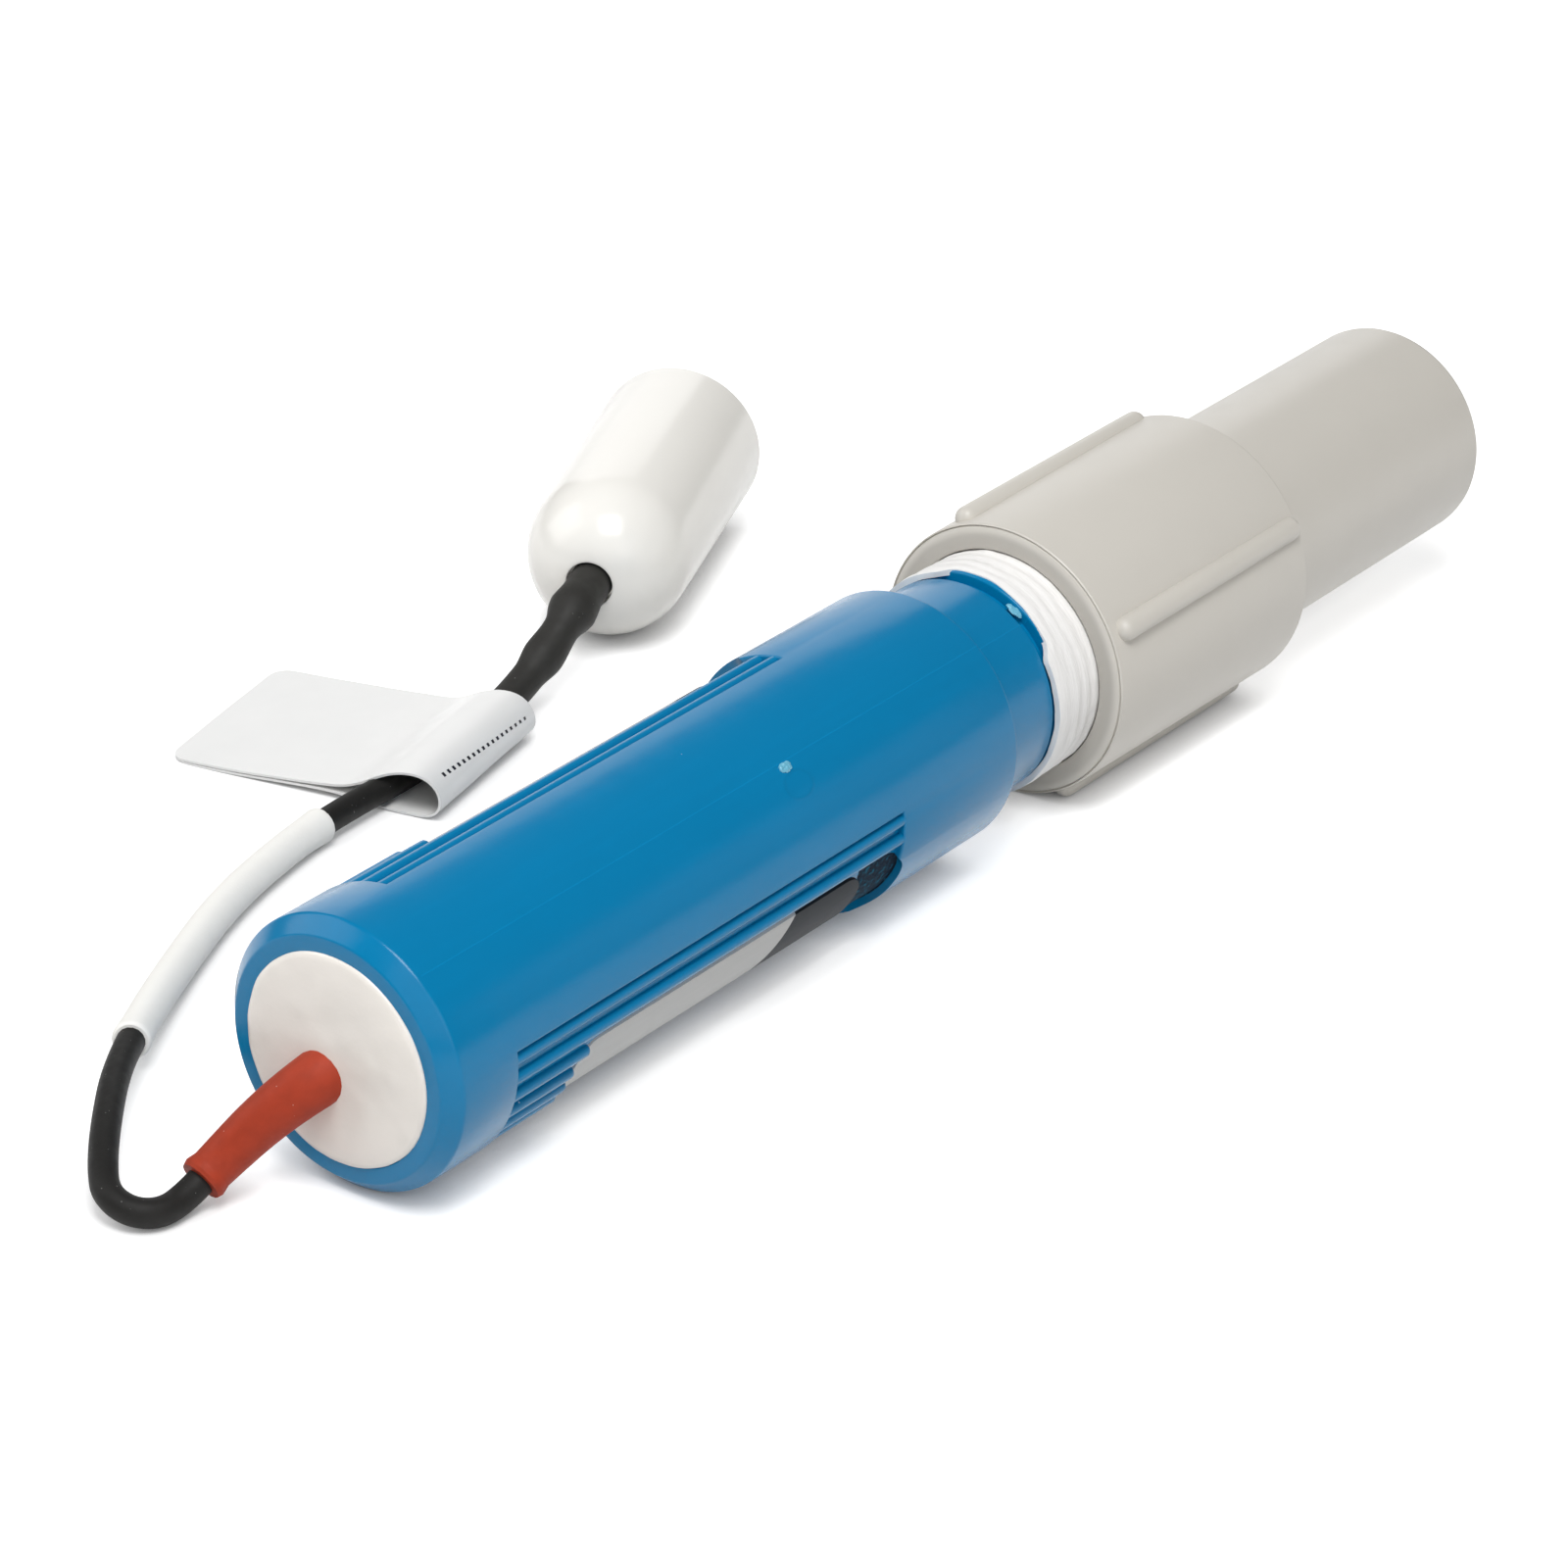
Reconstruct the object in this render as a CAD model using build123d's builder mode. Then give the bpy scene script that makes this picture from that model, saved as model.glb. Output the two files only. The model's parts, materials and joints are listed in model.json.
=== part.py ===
"""Combination pH electrode with a moulded barrel, a storage cap, and a flagged lead to a booted plug."""

import os
from math import cos, pi, radians, sin, tan

from build123d import *

os.makedirs("parts", exist_ok=True)

# Barrel, one moulding: grip body, neck, tapered process thread and guarded nose
barrel_length = 96.2
barrel_radius = 15.3
barrel_front_radius = 15.15
end_chamfer_length = 1.8
end_face_radius = 13.63
neck_length = 10.1
neck_radius = 12.8
undercut_length = 1.2
undercut_radius = 12.0
thread_length = 18.0
thread_radius = 13.33
thread_pitch = 25.4 / 14
thread_taper = 1 / 16
nose_length = 26.0
nose_radius = 10.0
nose_round = 1.2
shoulder_round = 0.4

# Bores of the barrel
rear_bore_radius = 11.8
rear_bore_depth = 34.0
cell_bore_radius = 8.2
web_length = 6.5
web_bore_radius = 5.4
guard_depth = 15.0
guard_slots = 4
guard_slot_width = 5.0
guard_slot_depth = 9.5
guard_slot_overrun = 1.0

# Grip panels, mirrored about the parting line
parting_angle = 129.0
grip_start = 10.2
grip_end = 75.2
grip_half_angle = 45.0
grip_floor_half_angle = 43.7
grip_depth = 0.9
grip_corner = 0.8
rib_count = 10
rib_pitch_angle = 9.0
rib_radius = 0.75
recess_start = 20.8
recess_end = 76.6
recess_half_width = 6.4
recess_corner = 3.5
recess_depth = 1.15
label_start = 21.4
label_end = 69.6
label_half_width = 6.0
label_corner = 3.0
label_thickness = 0.3

# Potting at the cable end
potting_depth = 13.0
potting_crown = 0.5
potting_edge_round = 0.45

# Wrapped thread tape
tape_lead_in = 0.2
tape_thickness = 0.22
tape_ridge_height = 0.22
tape_turns = 9

# Measuring cell
stem_radius = 3.0
stem_wall = 0.7
stem_start = 44.0
bulb_radius = 4.2
bulb_wall = 0.35
bulb_inset = 6.7
junction_length = 4.0
bulkhead_start = 38.0
bulkhead_length = 6.0
stopper_length = 6.0
stopper_head_length = 1.5
o_ring_section_radius = web_bore_radius / 2 - stem_radius / 2
o_ring_inset = 3.2
wire_radius = 0.25
wire_tip_gap = 1.5
reference_wire_offset = 5.6
reference_wire_tip_gap = 11.8
lead_radius = 0.55
lead_rear_spacing = 0.8
lead_bend_share = 0.4

# Storage cap: threaded collar with four ribs, and a closed spigot of three-quarter inch pipe size
collar_front_gap = 7.9
collar_front_radius = 16.41
collar_back_radius = 16.72
collar_length = 37.9
collar_front_round = 1.2
collar_back_round = 0.4
collar_rib_radius = 1.42
collar_rib_angles = (64, 154, 244, 334)
collar_rib_inset = 3.0
collar_rib_end_gap = 0.15
spigot_radius = 13.335
spigot_length = 44.1
spigot_end_round = 1.5
socket_clearance = 0.25
socket_depth = 17.0
chamber_radius = 11.4
cap_end_wall = 4.0
seal_section_radius = 1.0
seal_inset = 3.0
seal_clearance = 0.1
seal_groove_clearance = 0.3

# Lead. Each bend takes this share of its shorter run
cable_radius = 1.57
bend_share = 0.45
strain_relief_base_radius = 3.25
strain_relief_tip_radius = 2.3
marker_sleeve_radius = 2.15
shrink_thin_radius = 2.05
shrink_thick_radius = 2.8

# Flag tag folded over the lead, lying on the floor
tag_width = 27.0
tag_heading = 12.0
tag_near_edge = -19.9
tag_thickness = 0.3
tag_corner = 3.5
tag_flag_end = (85.9, 1.05)
tag_flag_pinch = (63.0, 2.95)
tag_loop = ((63.2, 3.1), (55.6, 7.0), (50.6, 7.0), (50.2, 3.8), (50.4, 0.9), (57.6, 0.9), (63.2, 2.8))
tag_loop_radii = (6.0, 2.2, 8.0, 1.6, 8.0)

# Plug under the boot, bayonet type, measured along its own axis from the boot's nose
plug_nose = (13.35, 58.2, 10.45)
plug_heading = 23.6
boot_length = 42.7
boot_nose_radius = 10.07
boot_mouth_radius = 10.43
boot_dome_length = 10.4
boot_dome_height = 8.74
boot_mouth_round = 0.6
boot_hole_radius = 3.2
boot_hole_length = 9.0
boot_cavity_radius = 6.3
nut_radius = 7.2
nut_bore_radius = 5.05
nut_start = 24.6
nut_flange = 1.6
nut_front_gap = 1.2
nut_flange_clearance = 0.3
bayonet_slot_width = 2.2
bayonet_slot_radius = 6.1
bayonet_slot_length = 5.2
ferrule_radius = 2.9
ferrule_bore_radius = 1.5
ferrule_start = 1.5
ferrule_length = 12.5
plug_rear_length = 10.0
plug_rear_radius = 5.4
plug_neck_radius = 4.4
plug_flange_radius = 4.95
plug_flange_length = 1.5
contact_radius = 4.05
contact_wall = 0.5
contact_length = 10.0
contact_slot_width = 0.6
contact_slot_length = 6.5
insulator_length = 11.0
pin_radius = 0.68
pin_length = 17.0
pin_chamfer = 0.34
core_radius = 0.9
washer_thickness = 0.5
washer_gap = 0.35
gasket_length = 1.0

# Floors of the grip panels and of the label recesses
grip_floor_radius = barrel_radius - grip_depth
recess_floor_radius = barrel_radius - recess_depth

# Stations along the probe, from the cable-end face
neck_start = barrel_length
undercut_start = neck_start + neck_length
thread_start = undercut_start + undercut_length
thread_end = thread_start + thread_length
nose_end = thread_end + nose_length
guard_start = nose_end - guard_depth
web_start = guard_start - web_length
collar_front = undercut_start + collar_front_gap
collar_back = collar_front + collar_length
cap_end = collar_back + spigot_length
socket_end = collar_front + socket_depth
chamber_end = cap_end - cap_end_wall

# How near an edge's place must be to a station to be taken as lying on it
station_tolerance = 0.01

# The part stands with its lowest point at height zero and its length centred
axis_height = collar_back_radius
face_x = -(cap_end - potting_crown) / 2
probe_axis = Axis((face_x, 0, axis_height), (1, 0, 0))
long_section = Plane(origin=(face_x, 0, axis_height), x_dir=(1, 0, 0), z_dir=(0, -1, 0))


def cross_section(station: float) -> Plane:
    """The plane across the probe at a distance from its cable-end face, angles counted from +Y to +Z."""
    return Plane(origin=(face_x + station, 0, axis_height), x_dir=(0, 1, 0), z_dir=(1, 0, 0))


def pull_plane(station: float, angle: float) -> Plane:
    """The plane through the axis that faces the way a grip panel leaves its mould."""
    facing = (0, cos(radians(angle)), sin(radians(angle)))
    return Plane(origin=(face_x + station, 0, axis_height), x_dir=(1, 0, 0), z_dir=facing)


def thread_crest(station: float) -> float:
    """Crest radius of the thread, whose taper is measured on the diameter."""
    return thread_radius - (station - thread_start) * thread_taper / 2


def rims_at(part: Part, station: float) -> ShapeList[Edge]:
    """The round edges of a turned piece at a station along the probe, widest last."""
    circles = part.edges().filter_by(GeomType.CIRCLE)
    near = circles.filter_by(lambda rim: abs(rim.arc_center.X - face_x - station) < station_tolerance)
    return near.sort_by(SortBy.RADIUS)


def write(part: Part, name: str) -> None:
    """Label a finished piece and write it to its own file."""
    part.label = name
    export_step(part, f"parts/{name}.step")


def rim_point(radius: float, angle: float) -> tuple[float, float]:
    """A point of a cross section, at a radius and an angle from +Y."""
    return (radius * cos(radians(angle)), radius * sin(radians(angle)))


def panel_tool(angle: float) -> Part:
    """What a grip panel takes from the wall: a sector whose flanks lean in to its round floor."""
    open_radius = 2 * barrel_radius - grip_floor_radius
    open_half_angle = 2 * grip_half_angle - grip_floor_half_angle
    with BuildPart() as sector:
        with BuildSketch(cross_section(grip_start)):
            with BuildLine():
                floor_start = rim_point(grip_floor_radius, angle - grip_floor_half_angle)
                floor_end = rim_point(grip_floor_radius, angle + grip_floor_half_angle)
                open_end = rim_point(open_radius, angle + open_half_angle)
                open_start = rim_point(open_radius, angle - open_half_angle)
                ThreePointArc(floor_start, rim_point(grip_floor_radius, angle), floor_end)
                Line(floor_end, open_end)
                ThreePointArc(open_end, rim_point(open_radius, angle), open_start)
                Line(open_start, floor_start)
            make_face()
        extrude(amount=grip_end - grip_start)
        flank_ends = sector.edges().filter_by(GeomType.LINE).filter_by(Axis.X, reverse=True)
        fillet(flank_ends, grip_corner)
    return sector.part


def recess_tool(angle: float) -> Part:
    """What a label's recess takes from the panel: a rounded pocket along the mould's pull."""
    with BuildPart() as block:
        with BuildSketch(pull_plane(0, angle)):
            with Locations(((recess_start + recess_end) / 2, 0)):
                RectangleRounded(recess_end - recess_start, 2 * recess_half_width, recess_corner)
        extrude(amount=2 * barrel_radius)
        with BuildSketch(cross_section(recess_start)):
            Circle(recess_floor_radius)
        extrude(amount=recess_end - recess_start, mode=Mode.SUBTRACT)
    return block.part


pull_angles = (parting_angle - 90, parting_angle + 90)

# Barrel
with BuildPart() as barrel:
    with BuildSketch(long_section):
        with BuildLine():
            Polyline(
                (0, rear_bore_radius),
                (0, end_face_radius),
                (end_chamfer_length, barrel_radius),
                (neck_start, barrel_front_radius),
                (neck_start, neck_radius),
                (undercut_start, neck_radius),
                (undercut_start, undercut_radius),
                (thread_start, undercut_radius),
                (thread_start, thread_radius),
                (thread_end, thread_crest(thread_end)),
                (thread_end, nose_radius),
                (nose_end, nose_radius),
                (nose_end, cell_bore_radius),
                (guard_start, cell_bore_radius),
                (guard_start, web_bore_radius),
                (web_start, web_bore_radius),
                (web_start, cell_bore_radius),
                (rear_bore_depth, cell_bore_radius),
                (rear_bore_depth, rear_bore_radius),
                (0, rear_bore_radius),
            )
        make_face()
    revolve(axis=probe_axis)
    fillet(rims_at(barrel.part, neck_start)[-1], shoulder_round)
    fillet(rims_at(barrel.part, nose_end)[-1], nose_round)
    # Grip panels, ribbed, then recessed for the labels
    for pull_angle in pull_angles:
        add(panel_tool(pull_angle), mode=Mode.SUBTRACT)
        first_rib = pull_angle - rib_pitch_angle * (rib_count - 1) / 2
        with BuildSketch(cross_section(grip_start)) as rib_section:
            with PolarLocations(grip_floor_radius, rib_count, first_rib, rib_pitch_angle * rib_count):
                Circle(rib_radius)
        extrude(amount=grip_end - grip_start)
        add(recess_tool(pull_angle), mode=Mode.SUBTRACT)
    # Slots that let the sample reach the glass bulb
    with BuildSketch(cross_section(nose_end - guard_slot_depth)):
        with PolarLocations(nose_radius, guard_slots):
            Rectangle(2 * nose_radius, guard_slot_width)
        Circle(cell_bore_radius - guard_slot_overrun, mode=Mode.SUBTRACT)
    extrude(amount=guard_slot_depth, mode=Mode.SUBTRACT)
write(barrel.part, "barrel")

# Labels, thin curved plates on the floor of each recess
for label_name, pull_angle in zip(("label_left", "label_right"), pull_angles):
    with BuildPart() as label:
        with BuildSketch(cross_section(label_start)):
            Circle(recess_floor_radius + label_thickness)
            Circle(recess_floor_radius, mode=Mode.SUBTRACT)
        extrude(amount=label_end - label_start)
        with BuildSketch(pull_plane(0, pull_angle)) as label_outline:
            with Locations(((label_start + label_end) / 2, 0)):
                RectangleRounded(label_end - label_start, 2 * label_half_width, label_corner)
        extrude(label_outline.sketch, amount=2 * barrel_radius, mode=Mode.INTERSECT)
    write(label.part, label_name)

# Thread tape, wound over the thread so that its crests show
with BuildPart() as thread_tape:
    tape_start = thread_start + tape_lead_in
    with BuildSketch(long_section):
        with BuildLine():
            valleys = [tape_start + thread_pitch * turn for turn in range(tape_turns + 1)]
            outline = []
            for station in valleys[:-1]:
                crest_station = station + thread_pitch / 2
                outline.append((station, thread_crest(station) + tape_thickness))
                crest_radius = thread_crest(crest_station) + tape_thickness + tape_ridge_height
                outline.append((crest_station, crest_radius))
            outline.append((valleys[-1], thread_crest(valleys[-1]) + tape_thickness))
            outline.append((valleys[-1], thread_crest(valleys[-1])))
            outline.append((tape_start, thread_crest(tape_start)))
            Polyline(*outline, close=True)
        make_face()
    revolve(axis=probe_axis)
write(thread_tape.part, "thread_tape")

# Lead route, from the potting to the ferrule. Points chosen by hand, a little above the floor it lies on
route = [
    (-89.6, 0.6, 16.0),
    (-96.8, 1.0, 15.3),
    (-101.8, 5.2, 11.0),
    (-106.2, 9.0, 5.5),
    (-110.9, 9.6, 3.2),
    (-114.3, 9.6, 3.2),
    (-116.4, 11.7, 3.6),
    (-116.4, 14.9, 4.5),
    (-113.9, 17.7, 5.4),
    (-108.4, 22.4, 6.1),
    (-98.8, 29.9, 5.8),
    (-87.0, 36.9, 4.4),
    (-75.8, 42.6, 3.5),
    (-61.8, 48.5, 3.3),
    (-47.0, 51.9, 3.2),
    (-36.2, 52.9, 3.0),
    (-25.0, 52.7, 3.05),
    (-14.0, 53.8, 3.15),
    (-6.2, 55.1, 3.3),
    (0.8, 55.3, 6.2),
    (7.67, 55.72, 10.45),
    (14.72, 58.8, 10.45),
]
points = [Vector(*point) for point in route]


def bend_radius(corner: int) -> float:
    """The largest arc that both runs at a corner of the route allow."""
    before = points[corner] - points[corner - 1]
    after = points[corner + 1] - points[corner]
    half_turn = radians(before.get_angle(after)) / 2
    return bend_share * min(before.length, after.length) / tan(half_turn)


bend_radii = [bend_radius(corner) for corner in range(1, len(points) - 1)]
print("bend radii:", [round(radius, 1) for radius in bend_radii])


def middle(run: int) -> Vector:
    """The middle of one run of the route."""
    return (points[run] + points[run + 1]) * 0.5


def run_plane(run: int, at: Vector) -> Plane:
    """The plane square to a run, at a point on it."""
    return Plane(origin=at, z_dir=(points[run + 1] - points[run]).normalized())


def stretch(first_run: int, last_run: int, end: Vector) -> Wire:
    """The route from the middle of one run to a point on a later one."""
    corners = points[first_run + 1 : last_run + 1]
    radii = bend_radii[first_run:last_run]
    with BuildLine() as line:
        FilletPolyline(middle(first_run), *corners, end, radius=radii)
    return line.wires()[0]


# Cable
with BuildPart() as cable:
    with BuildLine() as cable_path:
        FilletPolyline(*points, radius=bend_radii)
    with BuildSketch(run_plane(0, points[0])):
        Circle(cable_radius)
    sweep(path=cable_path.wires()[0])
cable_length = cable_path.wires()[0].length
print("cable length:", round(cable_length, 1), "volume ratio:",
      round(cable.part.volume / (pi * cable_radius**2 * cable_length), 4))
write(cable.part, "cable")

# Strain relief, a tapered silicone sleeve that leaves the potting and ends on the floor
relief_first_run = 0
relief_last_run = 3
relief_path = stretch(relief_first_run, relief_last_run, middle(relief_last_run))
with BuildPart() as relief_body:
    with BuildSketch(run_plane(relief_first_run, middle(relief_first_run))):
        Circle(strain_relief_base_radius)
    with BuildSketch(run_plane(relief_last_run, middle(relief_last_run))):
        Circle(strain_relief_tip_radius)
    sweep(path=relief_path, multisection=True)
with BuildPart() as strain_relief:
    add(relief_body.part)
    add(cable.part, mode=Mode.SUBTRACT)
write(strain_relief.part, "strain_relief")

# Leads from the cable's end to the two wires of the cell, set in the resin with it
cable_heading = (points[0] - points[1]).normalized()
lead_side = Vector(0, 0, 1).cross(cable_heading)


def lead_part(rear_offset: float, front_offset: float) -> Part:
    """One insulated lead, bent once each way between the cable and its wire."""
    start = points[0] + lead_side * rear_offset
    end = Vector(face_x + bulkhead_start, front_offset, axis_height)
    reach = (end.X - start.X) * lead_bend_share
    bends = (start + cable_heading * reach, end - Vector(reach, 0, 0))
    with BuildPart() as lead:
        with BuildLine() as lead_path:
            FilletPolyline(start, *bends, end, radius=reach / 2)
        with BuildSketch(Plane(origin=start, z_dir=cable_heading)):
            Circle(lead_radius)
        sweep(path=lead_path.wires()[0])
    return lead.part


core_lead = lead_part(-lead_rear_spacing, 0)
write(core_lead, "core_lead")
screen_lead = lead_part(lead_rear_spacing, reference_wire_offset)
write(screen_lead, "screen_lead")

# Potting, cast round the strain relief
with BuildPart() as potting_plug:
    with BuildSketch(cross_section(-potting_crown)):
        Circle(rear_bore_radius)
    extrude(amount=potting_depth + potting_crown)
    outer_rim = potting_plug.edges().filter_by(GeomType.CIRCLE).sort_by(Axis.X)[0]
    fillet(outer_rim, potting_edge_round)
    for cast_in in (relief_body.part, cable.part, core_lead, screen_lead):
        add(cast_in, mode=Mode.SUBTRACT)
write(potting_plug.part, "potting_plug")

# Marker sleeve
sleeve_first_run = 10
sleeve_last_run = 14
with BuildPart() as marker_sleeve:
    with BuildSketch(run_plane(sleeve_first_run, middle(sleeve_first_run))):
        Circle(marker_sleeve_radius)
        Circle(cable_radius, mode=Mode.SUBTRACT)
    sweep(path=stretch(sleeve_first_run, sleeve_last_run, middle(sleeve_last_run)))
write(marker_sleeve.part, "marker_sleeve")

# Shrink sleeve, thin over the lead and thick over the crimp's tail
shrink_first_run = 16
shrink_step_run = 18
last_run = len(points) - 2
with BuildPart() as shrink_sleeve:
    with BuildSketch(run_plane(shrink_first_run, middle(shrink_first_run))) as thin_section:
        Circle(shrink_thin_radius)
        Circle(cable_radius, mode=Mode.SUBTRACT)
    sweep(thin_section.sketch, path=stretch(shrink_first_run, shrink_step_run, middle(shrink_step_run)))
    with BuildSketch(run_plane(shrink_step_run, middle(shrink_step_run))) as thick_section:
        Circle(shrink_thick_radius)
        Circle(cable_radius, mode=Mode.SUBTRACT)
    sweep(thick_section.sketch, path=stretch(shrink_step_run, last_run, points[-1]))
write(shrink_sleeve.part, "shrink_sleeve")

# Flag tag: a loop round the lead, its two plies pressed together into a flag
tag_across = Vector(cos(radians(tag_heading)), sin(radians(tag_heading)), 0)
tag_away = Vector(-sin(radians(tag_heading)), cos(radians(tag_heading)), 0)
tag_plane = Plane(origin=tag_across * tag_near_edge, x_dir=tag_away, z_dir=tag_across)
with BuildPart() as flag_tag:
    with BuildSketch(tag_plane):
        with BuildLine():
            FilletPolyline(*tag_loop, radius=tag_loop_radii)
        trace(line_width=tag_thickness)
        with BuildLine():
            Line(tag_flag_pinch, tag_flag_end)
        trace(line_width=2 * tag_thickness)
    extrude(amount=tag_width)
    with BuildSketch(Plane(origin=(0, 0, 0), x_dir=tag_across, z_dir=(0, 0, 1))) as tag_outline:
        with Locations((tag_near_edge + tag_width / 2, tag_flag_end[0] - tag_width)):
            Rectangle(tag_width, 2 * tag_width)
        free_corners = tag_outline.vertices().sort_by(Axis(tag_plane.origin, tag_away))[-2:]
        fillet(free_corners, tag_corner)
    extrude(tag_outline.sketch, amount=tag_width, mode=Mode.INTERSECT)
print("tag volume:", round(flag_tag.part.volume, 1))
write(flag_tag.part, "flag_tag")

# Measuring cell: glass stem with its bulb
bulb_centre = nose_end - bulb_inset
stem_bore_radius = stem_radius - stem_wall
with BuildPart() as glass_stem:
    with BuildSketch(cross_section(stem_start)) as stem_section:
        Circle(stem_radius)
    extrude(stem_section.sketch, amount=bulb_centre - stem_start)
    with Locations((face_x + bulb_centre, 0, axis_height)):
        Sphere(bulb_radius)
        Sphere(bulb_radius - bulb_wall, mode=Mode.SUBTRACT)
    with BuildSketch(cross_section(stem_start)) as stem_bore:
        Circle(stem_bore_radius)
    extrude(stem_bore.sketch, amount=bulb_centre - stem_start, mode=Mode.SUBTRACT)
write(glass_stem.part, "glass_stem")

# Porous reference junction round the stem
with BuildPart() as junction_ring:
    with BuildSketch(cross_section(guard_start)):
        Circle(cell_bore_radius)
        Circle(stem_radius, mode=Mode.SUBTRACT)
    extrude(amount=junction_length)
write(junction_ring.part, "junction_ring")

# O-ring that seals the stem in the web
with BuildPart() as stem_o_ring:
    with BuildSketch(long_section):
        with Locations((guard_start - o_ring_inset, stem_radius + o_ring_section_radius)):
            Circle(o_ring_section_radius)
    revolve(axis=probe_axis)
write(stem_o_ring.part, "stem_o_ring")

# Bulkhead that centres the stem and closes the reference chamber
with BuildPart() as cell_bulkhead:
    with BuildSketch(cross_section(bulkhead_start)):
        Circle(cell_bore_radius)
    extrude(amount=bulkhead_length)
    with BuildSketch(cross_section(bulkhead_start)):
        Circle(stem_radius)
        with Locations((reference_wire_offset, 0)):
            Circle(wire_radius)
    extrude(amount=bulkhead_length, mode=Mode.SUBTRACT)
write(cell_bulkhead.part, "cell_bulkhead")

# Stopper in the rear end of the stem
stopper_start = stem_start - stopper_head_length
with BuildPart() as stem_stopper:
    with BuildSketch(cross_section(stopper_start)) as stopper_head:
        Circle(stem_radius)
    extrude(stopper_head.sketch, amount=stopper_head_length)
    with BuildSketch(cross_section(stem_start)) as stopper_plug:
        Circle(stem_bore_radius)
    extrude(stopper_plug.sketch, amount=stopper_length)
    with BuildSketch(cross_section(stopper_start)) as stopper_hole:
        Circle(wire_radius)
    extrude(stopper_hole.sketch, amount=stopper_head_length + stopper_length, mode=Mode.SUBTRACT)
write(stem_stopper.part, "stem_stopper")

# Silver wires of the measuring and the reference half cells
with BuildPart() as inner_wire:
    with BuildSketch(cross_section(bulkhead_start)):
        Circle(wire_radius)
    extrude(amount=bulb_centre - wire_tip_gap - bulkhead_start)
write(inner_wire.part, "inner_wire")

with BuildPart() as reference_wire:
    with BuildSketch(cross_section(bulkhead_start)):
        with Locations((reference_wire_offset, 0)):
            Circle(wire_radius)
    extrude(amount=web_start - reference_wire_tip_gap - bulkhead_start)
write(reference_wire.part, "reference_wire")

# One half-round rib of the collar with ball ends, sunk to its middle in the collar's wall
rib_near = collar_front + collar_rib_inset
rib_far = collar_back - collar_rib_end_gap - collar_rib_radius
with BuildPart() as collar_rib:
    with Locations((face_x + (rib_near + rib_far) / 2, 0, axis_height + collar_front_radius)):
        Cylinder(collar_rib_radius, rib_far - rib_near, rotation=(0, 90, 0))
    for station in (rib_near, rib_far):
        with Locations((face_x + station, 0, axis_height + collar_front_radius)):
            Sphere(collar_rib_radius)

# Storage cap
with BuildPart() as storage_cap:
    with BuildSketch(long_section):
        with BuildLine():
            Polyline(
                (collar_front, 0),
                (collar_front, collar_front_radius),
                (collar_back, collar_back_radius),
                (collar_back, spigot_radius),
                (cap_end, spigot_radius),
                (cap_end, 0),
                close=True,
            )
        make_face()
    revolve(axis=probe_axis)
    fillet(rims_at(storage_cap.part, collar_front)[-1], collar_front_round)
    fillet(rims_at(storage_cap.part, collar_back)[-1], collar_back_round)
    fillet(rims_at(storage_cap.part, cap_end)[-1], spigot_end_round)
    for rib_angle in collar_rib_angles:
        add(collar_rib.part.rotate(probe_axis, rib_angle - 90))
    # Threaded socket, seal groove and storage chamber
    mouth_radius = thread_crest(collar_front) + tape_thickness + tape_ridge_height + socket_clearance
    socket_end_radius = mouth_radius - socket_depth * thread_taper / 2
    seal_station = socket_end + seal_inset
    groove_half_width = seal_section_radius + seal_groove_clearance
    groove_radius = nose_radius + seal_clearance + 2 * seal_section_radius + seal_groove_clearance
    with BuildSketch(long_section):
        with BuildLine():
            Polyline(
                (collar_front, 0),
                (collar_front, mouth_radius),
                (socket_end, socket_end_radius),
                (socket_end, chamber_radius),
                (seal_station - groove_half_width, chamber_radius),
                (seal_station - groove_half_width, groove_radius),
                (seal_station + groove_half_width, groove_radius),
                (seal_station + groove_half_width, chamber_radius),
                (chamber_end, chamber_radius),
                (chamber_end, 0),
                close=True,
            )
        make_face()
    revolve(axis=probe_axis, mode=Mode.SUBTRACT)
write(storage_cap.part, "storage_cap")

# Seal between the cap and the barrel's nose
with BuildPart() as cap_seal:
    with BuildSketch(long_section):
        with Locations((seal_station, nose_radius + seal_clearance + seal_section_radius)):
            Circle(seal_section_radius)
    revolve(axis=probe_axis)
write(cap_seal.part, "cap_seal")

# Plug frame, along the boot's own axis
heading = (cos(radians(plug_heading)), sin(radians(plug_heading)), 0)
aside = (sin(radians(plug_heading)), -cos(radians(plug_heading)), 0)
plug_section = Plane(origin=plug_nose, x_dir=heading, z_dir=aside)
plug_axis = Axis(plug_nose, heading)


def plug_plane(station: float) -> Plane:
    """The plane across the plug at a distance from the boot's nose."""
    origin = Vector(*plug_nose) + Vector(*heading) * station
    return Plane(origin=origin, x_dir=aside, z_dir=heading)


# Coupling nut with its bayonet grooves
nut_end = boot_length - nut_front_gap
with BuildPart() as coupling_nut:
    with BuildSketch(plug_plane(nut_start)) as nut_outline:
        Circle(nut_radius)
        Circle(plug_neck_radius + nut_flange_clearance, mode=Mode.SUBTRACT)
    extrude(nut_outline.sketch, amount=nut_end - nut_start)
    nut_bore_start = nut_start + nut_flange
    with BuildSketch(plug_plane(nut_bore_start)) as nut_bore:
        Circle(nut_bore_radius)
    extrude(nut_bore.sketch, amount=nut_end - nut_bore_start, mode=Mode.SUBTRACT)
    with BuildSketch(plug_plane(nut_end - bayonet_slot_length)) as bayonet_slots:
        Rectangle(2 * bayonet_slot_radius, bayonet_slot_width)
    extrude(bayonet_slots.sketch, amount=bayonet_slot_length, mode=Mode.SUBTRACT)
write(coupling_nut.part, "coupling_nut")

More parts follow.
